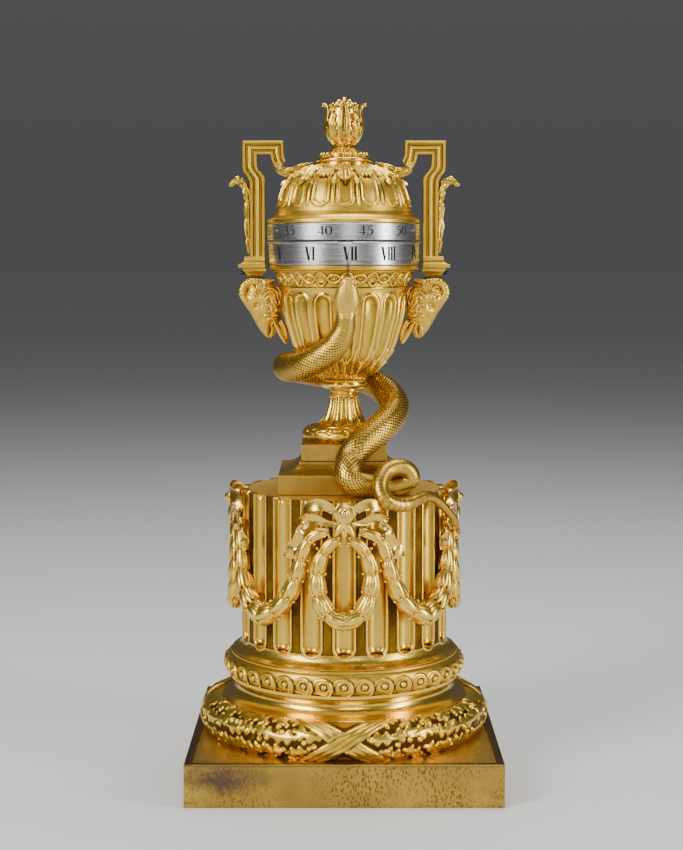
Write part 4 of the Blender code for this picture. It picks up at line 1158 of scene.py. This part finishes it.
def handles():
    """Stepped bars with sunk borders and a raised middle, an acanthus end on the lid, and a
    curled leaf up the outer edge, over moulded pads and brackets."""
    # rows are (outer x, outer z, inner x, inner z), from the foot up and over to the lid
    edges = straight([(69.0, 376.5, 58.0, 376.5), (69.0, 428.5, 58.0, 431.0)], 3.0)
    edges = np.vstack([edges[:-1], through([
        (69.0, 428.5, 58.0, 431.0), (69.3, 432.0, 58.5, 434.6), (71.0, 435.4, 60.4, 437.6),
        (73.3, 438.4, 62.8, 440.4), (74.2, 441.4, 63.9, 443.2), (74.3, 444.5, 64.0, 446.0)], 26)[:-1],
        straight([(74.3, 444.5, 64.0, 446.0), (74.3, 461.0, 64.0, 451.3), (44.6, 461.0, 53.8, 451.3)],
                 3.0)[:-1],
        through([(44.6, 461.0, 53.8, 451.3), (44.5, 456.0, 53.4, 449.0), (44.4, 452.0, 52.6, 446.0),
                 (43.8, 449.0, 51.0, 442.4), (42.6, 446.8, 48.2, 439.0)], 22)])
    # v runs across the bar's face from its outer edge, and high is the relief on it
    half = 4.7
    v = np.array([0.0, 0.0, 0.03, 0.20, 0.215, 0.26, 0.275, 0.31, 0.33, 0.40, 0.5, 0.60, 0.67, 0.69,
                  0.725, 0.74, 0.785, 0.80, 0.97, 1.0, 1.0])
    high = np.array([-0.9, -0.3, 0.0, 0.0, -0.9, -0.9, -0.45, -0.45, -1.0, 0.05, 0.3, 0.05, -1.0, -0.45,
                     -0.45, -0.9, -0.9, 0.0, 0.0, -0.3, -0.9])
    loop_v = np.concatenate([v, v[::-1]])
    loop_y = np.concatenate([-(half + high), (half + high)[::-1]])
    loop_high = np.concatenate([high, high[::-1]])
    # painted shade in the sunk borders, painted highlight on the raised middle
    tone = np.clip(0.42 + 0.5 * (loop_high > 0.03) - 0.5 * (loop_high < -0.8), 0.05, 1.0)
    turn = around(60)
    for name, side in (("right", 1), ("left", -1)):
        piece = Piece(f"stepped_handle_{name}")
        x = edges[:, :1] + (edges[:, 2:3] - edges[:, :1]) * loop_v
        z = edges[:, 1:2] + (edges[:, 3:] - edges[:, 1:2]) * loop_v
        bar = np.stack([side * x, np.broadcast_to(loop_y, x.shape), z], -1)
        piece.grid(bar, tone[None, None, :], 0.35)
        spine = through([(49.4, 445.5), (47.8, 441.6), (44.2, 438.9), (39.6, 438.6), (34.4, 441.0),
                         (29.0, 443.5), (23.2, 445.3)], 110)
        run = np.linspace(0, 1, len(spine))[:, None]
        lobes = np.abs(np.cos(np.pi * 4 * run ** 0.9)) ** 0.6
        thick = (2.1 + 1.5 * np.sin(np.pi * run ** 0.7)) * (1 - 0.72 * run ** 3) * (0.86 + 0.14 * lobes)
        wide = (4.6 + 2.8 * np.sin(np.pi * run ** 1.2)) * (1 - 0.6 * run ** 4) * (0.82 + 0.18 * lobes)
        ribs = 1 + 0.10 * np.cos(10 * turn + 9 * run) * np.clip(2 * run, 0, 1)
        # painted highlight on the leaf's raised ribs
        piece.grid(curled_leaf(spine, outward(spine), thick, wide, ribs, side),
                   np.clip(0.55 + 2.2 * (ribs - 1), 0, 1)[None])

        spine = through([(69.6, 379.0), (70.3, 388.0), (70.6, 400.0), (70.4, 412.0), (70.6, 421.0),
                         (72.6, 428.4), (76.2, 432.0), (80.2, 431.8), (82.7, 429.4), (82.9, 427.9)], 150)
        run = np.linspace(0, 1, len(spine))[:, None]
        lobes = np.abs(np.sin(np.pi * 7.5 * run)) ** 0.7 * (run < 0.74)
        thick = 0.9 + 1.3 * np.sin(np.pi * np.clip(run, 0, 0.62))
        thick = thick * (1 + 0.55 * lobes) * (1 - 0.45 * run ** 6)
        wide = 3.6 * np.sin(np.pi * (0.12 + 0.76 * run)) ** 0.7 * (0.86 + 0.2 * lobes)
        ribs = 1 + 0.12 * np.cos(8 * turn + 16 * run)
        # painted highlight on the leaf's raised ribs
        piece.grid(curled_leaf(spine, outward(spine[::-1])[::-1], thick, wide, ribs, side),
                   np.clip(0.6 + 2.2 * (ribs - 1), 0, 1)[None])

        pad = slab([
            (57.9, 77.1, 8.8, 368.4), (57.6, 77.4, 9.0, 368.7), (57.6, 77.4, 9.0, 370.9),
            (57.7, 77.1, 8.8, 371.2), (57.8, 76.0, 8.3, 371.4), (57.8, 74.6, 7.6, 372.0),
            (57.8, 73.6, 7.1, 373.0), (57.8, 73.0, 6.8, 374.2), (57.8, 72.9, 6.7, 374.7),
            (57.8, 72.9, 6.7, 376.3), (58.1, 72.5, 6.4, 376.7)], side)
        piece.grid(pad, 0.5, 0.3)
        piece.make(FINISHES["hatched"], body="cover", nodes=(f"handle_{name}",), slot="handle_gilt",
                   sharp=28)

        under = Piece(f"moulded_bracket_{name}")
        under.grid(slab([
            (60.2, 70.6, 5.8, 362.7), (59.9, 71.0, 6.0, 363.1), (59.4, 71.4, 6.2, 363.9),
            (58.2, 72.3, 6.9, 365.0), (57.4, 73.3, 7.5, 365.7), (57.2, 73.6, 7.7, 366.1),
            (57.0, 74.0, 8.0, 366.2), (57.0, 74.0, 8.0, 367.8), (57.2, 73.8, 7.8, 368.1)], side),
            0.5, 0.2)
        under.make(FINISHES["hatched"], nodes=(f"bracket_{name}",), slot="gilt_bronze", sharp=28)
        screw = Piece(f"bracket_screw_{name}")
        screw.grid(unit_ball(12, 16) * 1.7 + np.array([side * 74.8, 0.0, 364.6]))
        screw.make(FINISHES["blued"], slot="blued_steel")


# ---------------------------------------------------------------- the serpent

def frames(path):
    """Two unit vectors square to a path at each point, carried along it without twist."""
    along = unit(np.gradient(path, axis=0))
    first = np.empty_like(along)
    side = np.array([1.0, 0.0, 0.0])
    for i, way in enumerate(along):
        side = side - way * side.dot(way)
        side = side / np.linalg.norm(side)
        first[i] = side
    return first, np.cross(along, first)


def even(path, count):
    """The same path with its rows spaced evenly along its length."""
    run = np.concatenate([[0], np.cumsum(np.linalg.norm(np.diff(path[:, :3], axis=0), axis=1))])
    at = np.linspace(0, run[-1], count)
    return np.stack([np.interp(at, run, path[:, k]) for k in range(path.shape[1])], 1), at


def serpent():
    """A round body swept along a winding path, cut with rows of diamond scales.

    Each scale is a cell between two families of slanting grooves, tilted up towards its tip;
    the head is the same sweep, flattened and widened, with brows and eyes.
    """
    # rows are (x, y, z, radius), from the snout to the tip of the tail
    knots = [
        (2.8, -58.3, 362.4, 2.4), (2.7, -58.3, 361.4, 4.2), (2.6, -58.2, 359.0, 5.6),
        (2.2, -57.4, 352.0, 7.3), (1.7, -56.0, 344.5, 7.9), (1.3, -54.6, 338.5, 6.9),
        (1.0, -53.2, 332.5, 6.8), (0.0, -51.4, 326.0, 7.6),
        (-3.0, -50.0, 319.0, 8.5), (-8.0, -48.5, 312.0, 9.0), (-17.0, -45.0, 305.0, 9.4),
        (-28.0, -37.0, 299.0, 9.6), (-38.0, -22.0, 296.0, 9.8), (-42.0, -2.0, 295.5, 10.0),
        (-38.0, 16.0, 293.5, 10.0), (-24.0, 29.0, 290.0, 10.0), (-4.0, 34.0, 286.5, 10.0),
        (14.0, 29.5, 284.5, 10.0), (26.0, 18.0, 280.0, 10.1), (34.0, 4.0, 273.5, 10.2),
        (37.0, -8.5, 267.5, 10.2), (34.5, -20.0, 261.0, 10.3), (28.0, -31.8, 254.6, 10.3),
        (19.5, -40.2, 248.4, 10.3), (10.5, -46.6, 241.2, 10.2), (4.5, -50.0, 233.0, 10.0),
        (3.0, -56.3, 226.5, 9.8), (4.0, -60.0, 220.8, 9.4), (9.0, -61.5, 216.6, 9.0),
        (17.0, -60.5, 215.4, 8.0), (27.0, -58.0, 214.3, 7.0), (38.0, -56.0, 214.6, 6.6),
        (47.0, -56.3, 219.5, 6.3), (44.5, -58.0, 226.0, 6.1), (37.5, -60.5, 228.4, 5.9),
        (30.0, -64.5, 226.3, 5.8), (25.8, -70.5, 220.0, 5.7), (25.5, -74.5, 213.5, 5.5),
        (29.5, -77.2, 207.0, 5.3), (37.0, -74.5, 203.8, 5.0), (45.0, -69.6, 203.6, 4.6),
        (52.5, -62.8, 206.0, 4.0), (59.0, -56.2, 207.2, 3.7), (66.0, -49.0, 203.5, 3.3),
        (73.5, -42.5, 195.5, 2.9), (79.5, -35.5, 186.5, 2.5), (83.5, -26.0, 176.5, 1.2),
    ]
    rows, columns = 900, 96
    path, run = even(through(knots, 1200), rows)
    first, second = frames(path[:, :3])
    turn = around(columns)
    radius, run = path[:, 3:4], run[:, None]
    scales_round = 22
    steps = np.diff(run[:, 0]) / np.maximum(0.27 * radius[1:, 0], 0.6)
    u = np.concatenate([[0], np.cumsum(steps)])[:, None]
    slant = turn * scales_round / TURN
    a, b = u + slant, u - slant
    cell_a, cell_b = a % 1.0, b % 1.0
    edge = np.minimum(np.minimum(cell_a, 1 - cell_a), np.minimum(cell_b, 1 - cell_b))
    tilt = 0.5 * (cell_a + cell_b)
    scale = 0.5 * fade(0.0, 0.3, edge) * (1.3 - 0.8 * tilt)
    head = 1 - fade(23.0, 30.0, run)
    scale = scale * (1 - 0.7 * head) * np.clip(radius / 8.0, 0.3, 1.1)
    wide = 1 + 0.14 * np.exp(-((run - 16.0) / 7.5) ** 2)
    flat = 1 - 0.30 * head
    x = (radius * wide + scale) * np.cos(turn)
    y = (radius * flat + scale) * np.sin(turn)
    place = path[:, None, :3] + x[..., None] * first[:, None] + y[..., None] * second[:, None]
    # painted shade: dark in the grooves between scales, less so on the head, and a little darker where
    # each scale sinks
    tone = 0.9 - (0.9 - 0.5 * head) * (1 - fade(0.05, 0.34, edge)) - 0.1 * tilt
    body = Piece("scaled_serpent")
    body.grid(place, np.clip(tone, 0, 1)[None], 0.5 * head[None] * np.ones_like(turn))
    for side in (-1, 1):
        eye = np.array([2.7 + side * 5.2, -60.9, 357.2])
        body.grid(unit_ball(9, 12) * (1.0, 0.8, 1.35) + eye, 0.15)
        brow = through([(2.7 + side * 6.0, -60.6, 355.0), (2.7 + side * 5.3, -61.9, 357.6),
                        (2.7 + side * 3.7, -62.3, 359.6)], 14)
        body.grid(round_bar(brow, 0.55 * np.sin(np.linspace(0.25, 2.9, 14)), 8), 0.85)
    body.make(FINISHES["serpent"], nodes=("serpent",), slot="serpent_gilt", sharp=80)


def round_bar(path, radius, columns):
    """A round bar along a path: a circle square to it at each row."""
    path = np.asarray(path, float)
    first, second = frames(path)
    turn = around(columns)[..., None]
    radius = np.broadcast_to(radius, len(path))[:, None, None]
    return path[:, None] + radius * (np.cos(turn) * first[:, None] + np.sin(turn) * second[:, None])


# ---------------------------------------------------------------- the rams' heads

def lock(knots, radius, count=22):
    """A tapered lock of hair through rows of (x, y, z): thick in the middle, fine at its ends."""
    path = through(knots, count)
    run = np.linspace(0, 1, count)
    return round_bar(path, radius * (0.25 + np.sin(np.pi * (0.08 + 0.86 * run)) ** 0.7), 7)


def ram_heads():
    """Each head is a pillow inside a closed outline, its two faces rounded off to the edge and
    modelled with a brow, cheek and mouth; horns, ears, eyes and locks of fleece are swept bars."""
    outline = np.array([
        (71.5, 361.6), (75.6, 357.6), (77.2, 351.0), (75.6, 345.6), (73.2, 341.0), (69.6, 336.0),
        (67.2, 331.8), (64.4, 326.6), (61.6, 322.4), (59.0, 319.2), (56.6, 317.2), (53.6, 316.9),
        (51.6, 318.2), (50.4, 321.4), (49.8, 326.0), (47.6, 329.4), (46.4, 334.0), (46.8, 340.0),
        (48.0, 346.0), (49.4, 352.0), (51.2, 357.0), (56.0, 360.4), (64.0, 361.8), (71.5, 361.6)])
    rim = even(through(outline, 400), 181)[0][:-1]
    centre = np.array([60.4, 342.0])
    share = np.sin(np.linspace(0, np.pi / 2, 64))[:, None]
    x = centre[0] + share * (rim[None, :, 0] - centre[0])
    z = centre[1] + share * (rim[None, :, 1] - centre[1])
    half = np.interp(z, [316.0, 320.0, 328.0, 338.0, 346.0, 356.0, 362.0],
                     [4.6, 5.6, 7.2, 9.6, 11.4, 11.2, 9.0])
    fleece = fade(58.5, 52.5, x - 0.25 * (z - 340.0))

    def bump(at, size, high, tilt=0.0):
        """A soft mound: high times exp(-p^2 - q^2), p and q along its axes."""
        dx, dz = x - at[0], z - at[1]
        c, s = math.cos(math.radians(tilt)), math.sin(math.radians(tilt))
        p, q = (dx * c + dz * s) / size[0], (dz * c - dx * s) / size[1]
        return high * np.exp(-(p * p + q * q))

    deep = half * np.sqrt(np.clip(1 - share ** 2.2, 0, 1))
    deep = deep + bump((67.8, 344.6), (3.0, 4.6), 1.5, -60) - bump((63.4, 340.2), (3.4, 2.3), 1.9, -40)
    deep = deep + bump((58.4, 337.4), (4.6, 4.2), 1.3) - bump((62.4, 332.0), (2.2, 6.0), 0.9, 30)
    deep = deep - bump((54.4, 322.8), (0.8, 4.4), 1.8, 6) + bump((57.8, 321.4), (2.4, 2.2), 0.8)
    deep = deep - bump((59.6, 320.2), (0.8, 1.3), 1.0, 40) - bump((71.4, 354.6), (3.2, 4.0), 1.2)
    waves = 0.45 * np.sin(2.3 * (x * 0.5 + z) + 1.8 * np.sin(0.55 * z)) * fleece
    deep = np.maximum(deep + waves * (share < 0.97), 0.0)
    # painted highlight on the raised modelling and fleece crests, painted shade in the hollows and troughs
    tone = np.clip(0.62 + 0.5 * (deep - blurred(deep, 5)) + 0.5 * waves, 0, 1)

    def surface(px, pz):
        """How far the pillow's face stands from the middle plane at (x, z)."""
        near = (x - px) ** 2 + (z - pz) ** 2
        return deep.reshape(-1)[near.argmin()]

    # locks of fleece, as rows of (x, z) that lie on the face
    strands = [
        [(56.4, 353.6), (52.6, 353.0), (49.4, 349.8), (48.3, 345.1)],
        [(55.1, 355.8), (50.0, 354.5), (46.6, 350.2), (45.1, 344.3)],
        [(57.7, 349.4), (54.3, 351.1), (51.3, 348.5), (50.7, 344.3)],
        [(45.1, 345.1), (44.5, 340.9), (44.7, 336.6), (44.1, 333.2)],
        [(53.4, 347.7), (52.4, 343.4), (50.0, 339.2), (47.1, 335.3)],
        [(50.7, 345.5), (49.2, 341.3), (46.2, 338.3), (44.5, 334.1)],
        [(55.1, 336.4), (51.7, 337.5), (49.0, 336.4), (46.6, 333.6)],
        [(59.8, 331.7), (57.1, 333.8), (54.7, 332.1), (55.6, 328.9)],
        [(56.8, 329.8), (54.1, 331.5), (50.9, 330.4), (48.8, 328.5)],
        [(53.4, 332.8), (50.0, 333.4), (47.1, 331.1), (44.9, 327.7)],
        [(58.5, 328.5), (56.8, 326.0), (57.5, 322.6), (59.0, 320.9)],
        [(52.8, 327.7), (50.0, 329.2), (47.5, 327.7), (46.6, 325.5)],
        [(70.0, 353.4), (67.5, 354.9), (65.1, 353.4), (64.5, 350.6)],
        [(69.4, 350.6), (66.6, 351.3), (63.9, 348.5), (63.6, 346.0)],
        [(70.7, 347.9), (67.9, 349.4), (65.8, 347.5), (66.2, 345.1)],
        [(68.3, 356.6), (65.8, 357.7), (63.4, 355.8), (63.9, 352.8)],
        [(56.8, 345.1), (55.1, 347.7), (52.6, 345.1), (53.4, 341.7)],
        [(56.8, 341.7), (54.3, 340.9), (52.6, 337.9), (53.4, 334.9)],
        [(48.3, 351.1), (46.6, 346.8), (47.5, 342.6), (46.0, 338.7)],
        [(55.1, 351.1), (52.8, 347.7), (53.0, 344.3), (51.3, 340.9)],
    ]
    beard = [
        [(50.0, 326.8), (47.5, 322.6), (44.9, 318.3), (42.0, 313.6)],
        [(48.3, 328.9), (45.4, 324.3), (43.2, 319.6), (41.1, 315.3)],
        [(49.2, 325.1), (47.1, 320.0), (44.5, 316.6), (42.4, 312.4)],
        [(46.6, 329.8), (44.5, 326.0), (42.8, 321.7), (41.7, 317.9)],
        [(50.9, 327.7), (49.0, 324.3), (46.6, 319.2), (43.7, 313.6)],
    ]
    # rows are (x, y, z, radius)
    horn = np.array([
        (51.5, 7.0, 359.6, 0.9), (56.0, 8.2, 358.6, 1.8), (62.0, 8.8, 358.4, 2.6),
        (68.0, 9.0, 358.4, 3.1), (72.5, 9.0, 356.0, 3.4), (74.4, 8.8, 351.5, 3.5),
        (73.0, 8.2, 346.5, 3.1), (70.0, 7.0, 343.0, 2.4)])
    ball = unit_ball(12, 16)
    for name, side in (("right", 1), ("left", -1)):
        piece = Piece(f"ram_{name}")
        sheet = np.concatenate([np.stack([x, -deep, z], -1), np.stack([x, deep, z], -1)[-2::-1]])
        mirror = np.array([side, 1.0, 1.0])
        piece.grid(sheet * mirror, np.concatenate([tone, tone[-2::-1]]), 0.0)
        for hand in (-1, 1):
            path = through(horn * (side, hand, 1, 1), 120)
            run = np.linspace(0, 1, 120)
            rings = 0.86 + 0.035 * np.cos(TURN * 16 * run) * (run > 0.12)
            # the horn's raised rings get painted highlight, its grooves painted shade
            piece.grid(round_bar(path[:, :3], path[:, 3] * rings, 20),
                       np.clip(0.75 + 5 * (rings - 0.86), 0, 1)[:, None])
            for rows in strands:
                knots = [(side * px, hand * (surface(px, pz) + 0.25), pz) for px, pz in rows]
                piece.grid(lock(knots, 0.95), 0.85)
            for k, rows in enumerate(beard):
                knots = [(side * max(px, 41.6), hand * (0.9 + 1.15 * k * (1 - i / 4)), pz)
                         for i, (px, pz) in enumerate(rows)]
                piece.grid(lock(knots, 1.25), 0.8)
            near = hand * (surface(62.4, 339.6) - 0.3)
            piece.grid(ball * np.array([1.5, 1.2, 1.3]) + (side * 62.4, near, 339.6), 0.75)
            for shift, size in ((1.75, 0.62), (-1.6, 0.5)):
                lid_bar = [(side * (64.8 - 0.2 * shift), near * 0.97, 340.2 + 0.3 * shift),
                           (side * 62.6, near + hand * 0.9, 339.7 + shift),
                           (side * 60.2, near * 0.97, 338.6 + 0.5 * shift)]
                piece.grid(lock(lid_bar, size, 14), 0.9)
            run, across = np.linspace(0, 1, 22)[:, None], around(18)
            spine = through([(side * 61.8, hand * 11.6, 350.0), (side * 60.4, hand * 14.0, 353.2),
                             (side * 59.6, hand * 14.8, 356.8), (side * 59.6, hand * 14.0, 360.2)], 22)
            width = 2.7 * np.sin(np.pi * (0.1 + 0.88 * run)) ** 0.8
            cup = -0.9 * np.cos(across) ** 2
            ear = spine[:, None] + np.stack([
                width * np.cos(across), hand * (0.7 * np.sin(across) * width / 2.7 - cup - 0.5),
                0 * width * across], -1)
            # painted highlight along the ear's edges
            piece.grid(ear, 0.5 + 0.4 * np.abs(np.cos(across)) ** 3)
        piece.make(FINISHES["relief"], nodes=(f"ram_head_{name}",), slot="gilt_bronze", sharp=80)


# ---------------------------------------------------------------- wreaths, swags and bows

def laurel(long, wide):
    """One leaf as a thin solid from 0 to long on x, domed on +z, with a midrib."""
    run, turn = np.linspace(0.02, 0.985, 11)[:, None], around(10)
    half = wide / 2 * np.sin(np.pi * run ** 0.85) ** 0.75
    across = np.cos(turn)
    high = np.sin(turn) * (0.55 + 0.75 * half / wide) + 0.9 * np.sin(np.pi * run) * (1 - across ** 2)
    high = high + 0.25 * np.exp(-(across / 0.18) ** 2) * (np.sin(turn) > 0)
    return np.stack([long * run + 0 * turn, half * across, high], -1)


def against_drum(path):
    """At each point of a path: its way, the direction out from the axis, and the one square to both."""
    way = unit(np.gradient(path, axis=0))
    out = path * (1, 1, 0)
    out = unit(out - way * np.einsum("ij,ij->i", out, way)[:, None])
    return way, out, np.cross(way, out)


def sprays(piece, path, radius, step):
    """Bunches of leaves laid round a path, each leaning out over the next, with berries at the
    joints. radius is the bunch's half width at the start, a third of the way, and the end."""
    samples = 400
    path, along = even(path, samples)
    count = int(round(along[-1] / step))
    reach = samples / count * 1.26
    way = unit(path[-1:] - path[-2:-1])
    path = np.vstack([path, path[-1] + way * (np.arange(1, int(reach) + 2) * along[1])[:, None]])
    way, out, side = against_drum(path)
    blade, ball = laurel(1.0, 1.0), unit_ball(8, 10)
    leaves, balls = [], []
    for k in range(count):
        first = int(k / count * (samples - 1))
        size = np.interp(k / count, (0, 0.35, 1), radius)
        rows = (first + blade[:, 0, 0] * reach).astype(int)
        for turn in np.radians((0, 52, -52, 100, -100, 150, -150)):
            up = math.cos(turn) * out[rows] + math.sin(turn) * side[rows]
            across = np.cross(up, way[rows])
            wide = size * (1.32 if turn == 0 else 1.15)
            lift = size * (0.5 + 0.34 * blade[:, :1, 0] + blade[..., 2] / 4.2)
            leaves.append(path[rows][:, None] + lift[..., None] * up[:, None]
                          + (wide * blade[..., 1:2]) * across[:, None])
        for turn in np.radians((26, -26, 78, -78)):
            up = math.cos(turn) * out[first] + math.sin(turn) * side[first]
            balls.append(ball * 1.15 + path[first] + up * size * 1.02 + way[first] * 0.9)
    # painted highlight on the leaves' domed tops, painted shade on their undersides
    piece.grid(np.stack(leaves), np.clip(0.42 + 0.36 * blade[..., 2], 0, 1)[None])
    piece.grid(np.stack(balls), 0.85)


def spread(values, count):
    """A few values, evenly spaced, filled in between to make a column of count rows."""
    return np.interp(np.linspace(0, 1, count), np.linspace(0, 1, len(values)), values)[:, None]


def ribbon(path, lean, width):
    """A band along a path: lean tilts its width from flat against the drum (0) to edge on (90)."""
    _, out, side = against_drum(path)
    tilt = np.radians(spread(lean, len(path)))
    wide = side * np.cos(tilt) + out * np.sin(tilt)
    face = out * np.cos(tilt) - side * np.sin(tilt)
    width = spread(width, len(path))[..., None]
    thick, v = 0.9, np.linspace(-1, 1, 9)
    cupped = 0.35 * np.abs(v) ** 4
    section_v = np.concatenate([v, v[::-1]])
    section_h = np.concatenate([cupped + thick / 2, cupped[::-1] - thick / 2])
    return path[:, None] + wide[:, None] * (width / 2 * section_v[None, :, None]) \
        + face[:, None] * section_h[None, :, None]


def drum_point(u, v, radius):
    """A place on a cylinder round Z, u mm along its face from the front and v mm up."""
    u, v, radius = np.broadcast_arrays(np.asarray(u, float), v, radius)
    angle = u / radius
    return np.stack([radius * np.sin(angle), -radius * np.cos(angle), v], -1)


def quarter_turn(points, quarter):
    """The same points, turned round Z by quarters from the front towards the right."""
    c, s = math.cos(quarter * TURN / 4), math.sin(quarter * TURN / 4)
    return points @ np.array([[c, s, 0], [-s, c, 0], [0, 0, 1.0]])


def garlands():
    """On each quarter: an oval wreath, a ribbon bow with a domed button, and a hanging swag."""
    # rows are (degrees from the bow, z, half thickness)
    drape = [(7.5, 185.5, 3.2), (12.0, 184.0, 4.0), (17.0, 180.5, 4.6), (21.2, 170.5, 5.0),
             (23.4, 158.0, 5.6), (26.5, 145.5, 6.2), (33.5, 131.0, 7.0), (45.0, 122.0, 7.4)]
    for quarter, name in enumerate(QUARTERS):
        wreath, swag = Piece(f"wreath_{name}_leaves"), Piece(f"swag_{name}_leaves")
        bow = Piece(f"bow_{name}_ribbon")
        parts = []
        for hand in (-1, 1):
            angle = np.radians(np.linspace(83, -90, 60))
            u, v = 19.4 * np.cos(angle) * hand, 151.5 + 29.0 * np.sin(angle)
            parts.append((wreath, quarter_turn(drum_point(u, v, 80.2), quarter), (4.2, 6.2, 6.0), 16.5))
            rows = through(drape, 90)
            theta = np.radians(rows[:, 0]) * hand
            reach = COLUMN_RADIUS + 0.2 + rows[:, 2] * 0.9
            hung = quarter_turn(round_axis(reach, theta, rows[:, 1]), quarter + (hand < 0))
            parts.append((swag, hung, (4.0, 5.6, 7.4), 15.5))
        for piece, path, radius, step in parts:
            # the stem under the leaves is nearly black, as painted shade between them
            piece.grid(round_bar(path, radius[0] * 0.6, 8), 0.1)
            sprays(piece, path, radius, step)
        ball = unit_ball(8, 10)
        for u, v, radius in ((0.0, 121.6, 84.5), (-3.4, 121.0, 83.0), (3.2, 120.9, 83.4),
                             (0.2, 117.6, 82.6), (-5.0, 124.0, 84.0)):
            wreath.grid(ball * 1.6 + quarter_turn(drum_point(u, v, radius), quarter), 0.85)
        knot_leaf = laurel(13.0, 5.0)
        for lean in (-34, 0, 34):
            c, s = math.cos(math.radians(lean)), math.sin(math.radians(lean))
            u = -knot_leaf[..., 0] * s + knot_leaf[..., 1] * c
            v = 193.0 - knot_leaf[..., 0] * c - knot_leaf[..., 1] * s
            # the knot's leaves: painted highlight on their tops, painted shade beneath
            wreath.grid(quarter_turn(drum_point(u, v, 84.2 + knot_leaf[..., 2]), quarter),
                        np.clip(0.5 + 0.28 * knot_leaf[..., 2], 0, 1))
        dome = np.vstack([[(0.02, 4.8)],
                          arc((0.0, 1.2), 3.6, 88, 20, 12), straight([(4.6, 2.3), (6.4, 2.0)], 0.6),
                          arc((6.4, 1.0), 1.0, 80, -60, 8), straight([(6.4, -6.0), (0.05, -6.0)], 3.0)])
        turn = around(40)
        disc = drum_point(dome[:, :1] * np.cos(turn), 199.2 + dome[:, :1] * np.sin(turn),
                          83.6 + dome[:, 1:] + 0 * turn)
        bow.grid(quarter_turn(disc, quarter), 0.8)
        for hand in (-1, 1):
            loop = through([(hand * 4.5, 197.5, 82.5), (hand * 10, 203.0, 84.5), (hand * 18, 205.0, 84.5),
                            (hand * 26.5, 201.5, 82.5), (hand * 30.5, 195.0, 80.5)], 70)
            under = through([(hand * 31.0, 194.2, 81.0), (hand * 27.0, 195.8, 82.6),
                             (hand * 20.5, 195.6, 82.8), (hand * 13.0, 191.8, 81.8),
                             (hand * 5.5, 190.6, 81.6)], 50)
            tail = through([(hand * 30.0, 196.0, 80.4), (hand * 28.2, 190.0, 81.6),
                            (hand * 31.4, 184.6, 83.2), (hand * 34.0, 178.0, 82.0),
                            (hand * 38.8, 173.2, 80.8), (hand * 40.6, 166.0, 80.4)], 80)
            for rows, lean, width in (
                    (loop, (20, -12, 5, 30, 62), (3.4, 7.0, 8.2, 7.4, 4.5)),
                    (under, (60, 20, 0, -20), (3.5, 5.5, 5.5, 3.0)),
                    (tail, (50, -30, 15, -25, 20, -10), (4.5, 6.4, 7.4, 7.4, 7.8, 8.0))):
                path = quarter_turn(drum_point(*rows.T), quarter)
                bow.grid(ribbon(path, [hand * value for value in lean], width), 0.72)
        wreath.make(FINISHES["relief"], nodes=(f"wreath_{name}",), slot="gilt_bronze", sharp=60)
        swag.make(FINISHES["relief"], nodes=(f"swag_{name}",), slot="gilt_bronze", sharp=60)
        bow.make(FINISHES["ribbon"], nodes=(f"bow_{name}",), slot="gilt_bronze", sharp=60)


MOVEMENT = {
    "brass": ("lower_plate", "upper_plate", "minute_spider", "hour_spider", "centre_wheel",
              "hour_wheel", "minute_wheel", "barrel", "third_wheel", "escape_wheel", "balance"),
    "steel": ("tie_rod", "cannon_pinion", "centre_arbor", "centre_pinion", "barrel_arbor",
              "ratchet_wheel", "third_pinion", "escape_pinion", "pallets"),
    "spring": ("mainspring",),
}


def movement():
    """The clockwork keeps its own shapes and takes bare brass and steel."""
    for finish, names in MOVEMENT.items():
        for name in names:
            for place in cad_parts[name].material_slots:
                place.material = FINISHES[finish]


FINISHES = {
    "relief": gilt("relief_gilding", rough=0.27, wear=0.4),
    "burnished": gilt("burnished_gilding", rough=0.19, wear=0.3),
    "hatched": gilt("hatched_gilding", rough=0.24, wear=0.4),
    "matt": gilt("matt_gilding", ground=(0.55, 0.31, 0.035), bright=(0.88, 0.56, 0.12), rough=0.38),
    "dim_gilt": gilt("dim_gilding", ground=(0.36, 0.21, 0.025), bright=(0.80, 0.50, 0.10), rough=0.3,
                 wear=0.8),
    "plinth": plinth_gilding(),
    "serpent": gilt("scaled_gilding", deep=(0.16, 0.08, 0.008), ground=(0.62, 0.37, 0.045),
                    bright=(1.0, 0.70, 0.17), rough=0.24, wear=0.2),
    "ribbon": gilt("ribbon_gilding", ground=(0.60, 0.34, 0.03), bright=(1.0, 0.68, 0.15), rough=0.2,
                   wear=0.25),
    "silver": silvering(),
    "wax": plain("black_wax", 0.0, 0.8, (0.012, 0.011, 0.012)),
    "blued": plain("blued_steel", 1.0, 0.28, (0.045, 0.05, 0.085)),
    "spring": bare_metal("spring_steel", (0.10, 0.11, 0.14), (0.22, 0.22, 0.25), 0.3),
    "steel": bare_metal("polished_steel", (0.30, 0.30, 0.31), (0.50, 0.50, 0.51), 0.24),
    "brass": bare_metal("movement_brass", (0.50, 0.34, 0.10), (0.76, 0.57, 0.23), 0.3),
}
studio()
plinth()
oak_torus()
scotia()
wave_torus()
fluted_column()
socle()
laurel_ring()
urn_foot()
urn_bowl()
bowl_frieze()
lid()
finial()
dial_rings()
pointer()
handles()
serpent()
ram_heads()
garlands()
movement()
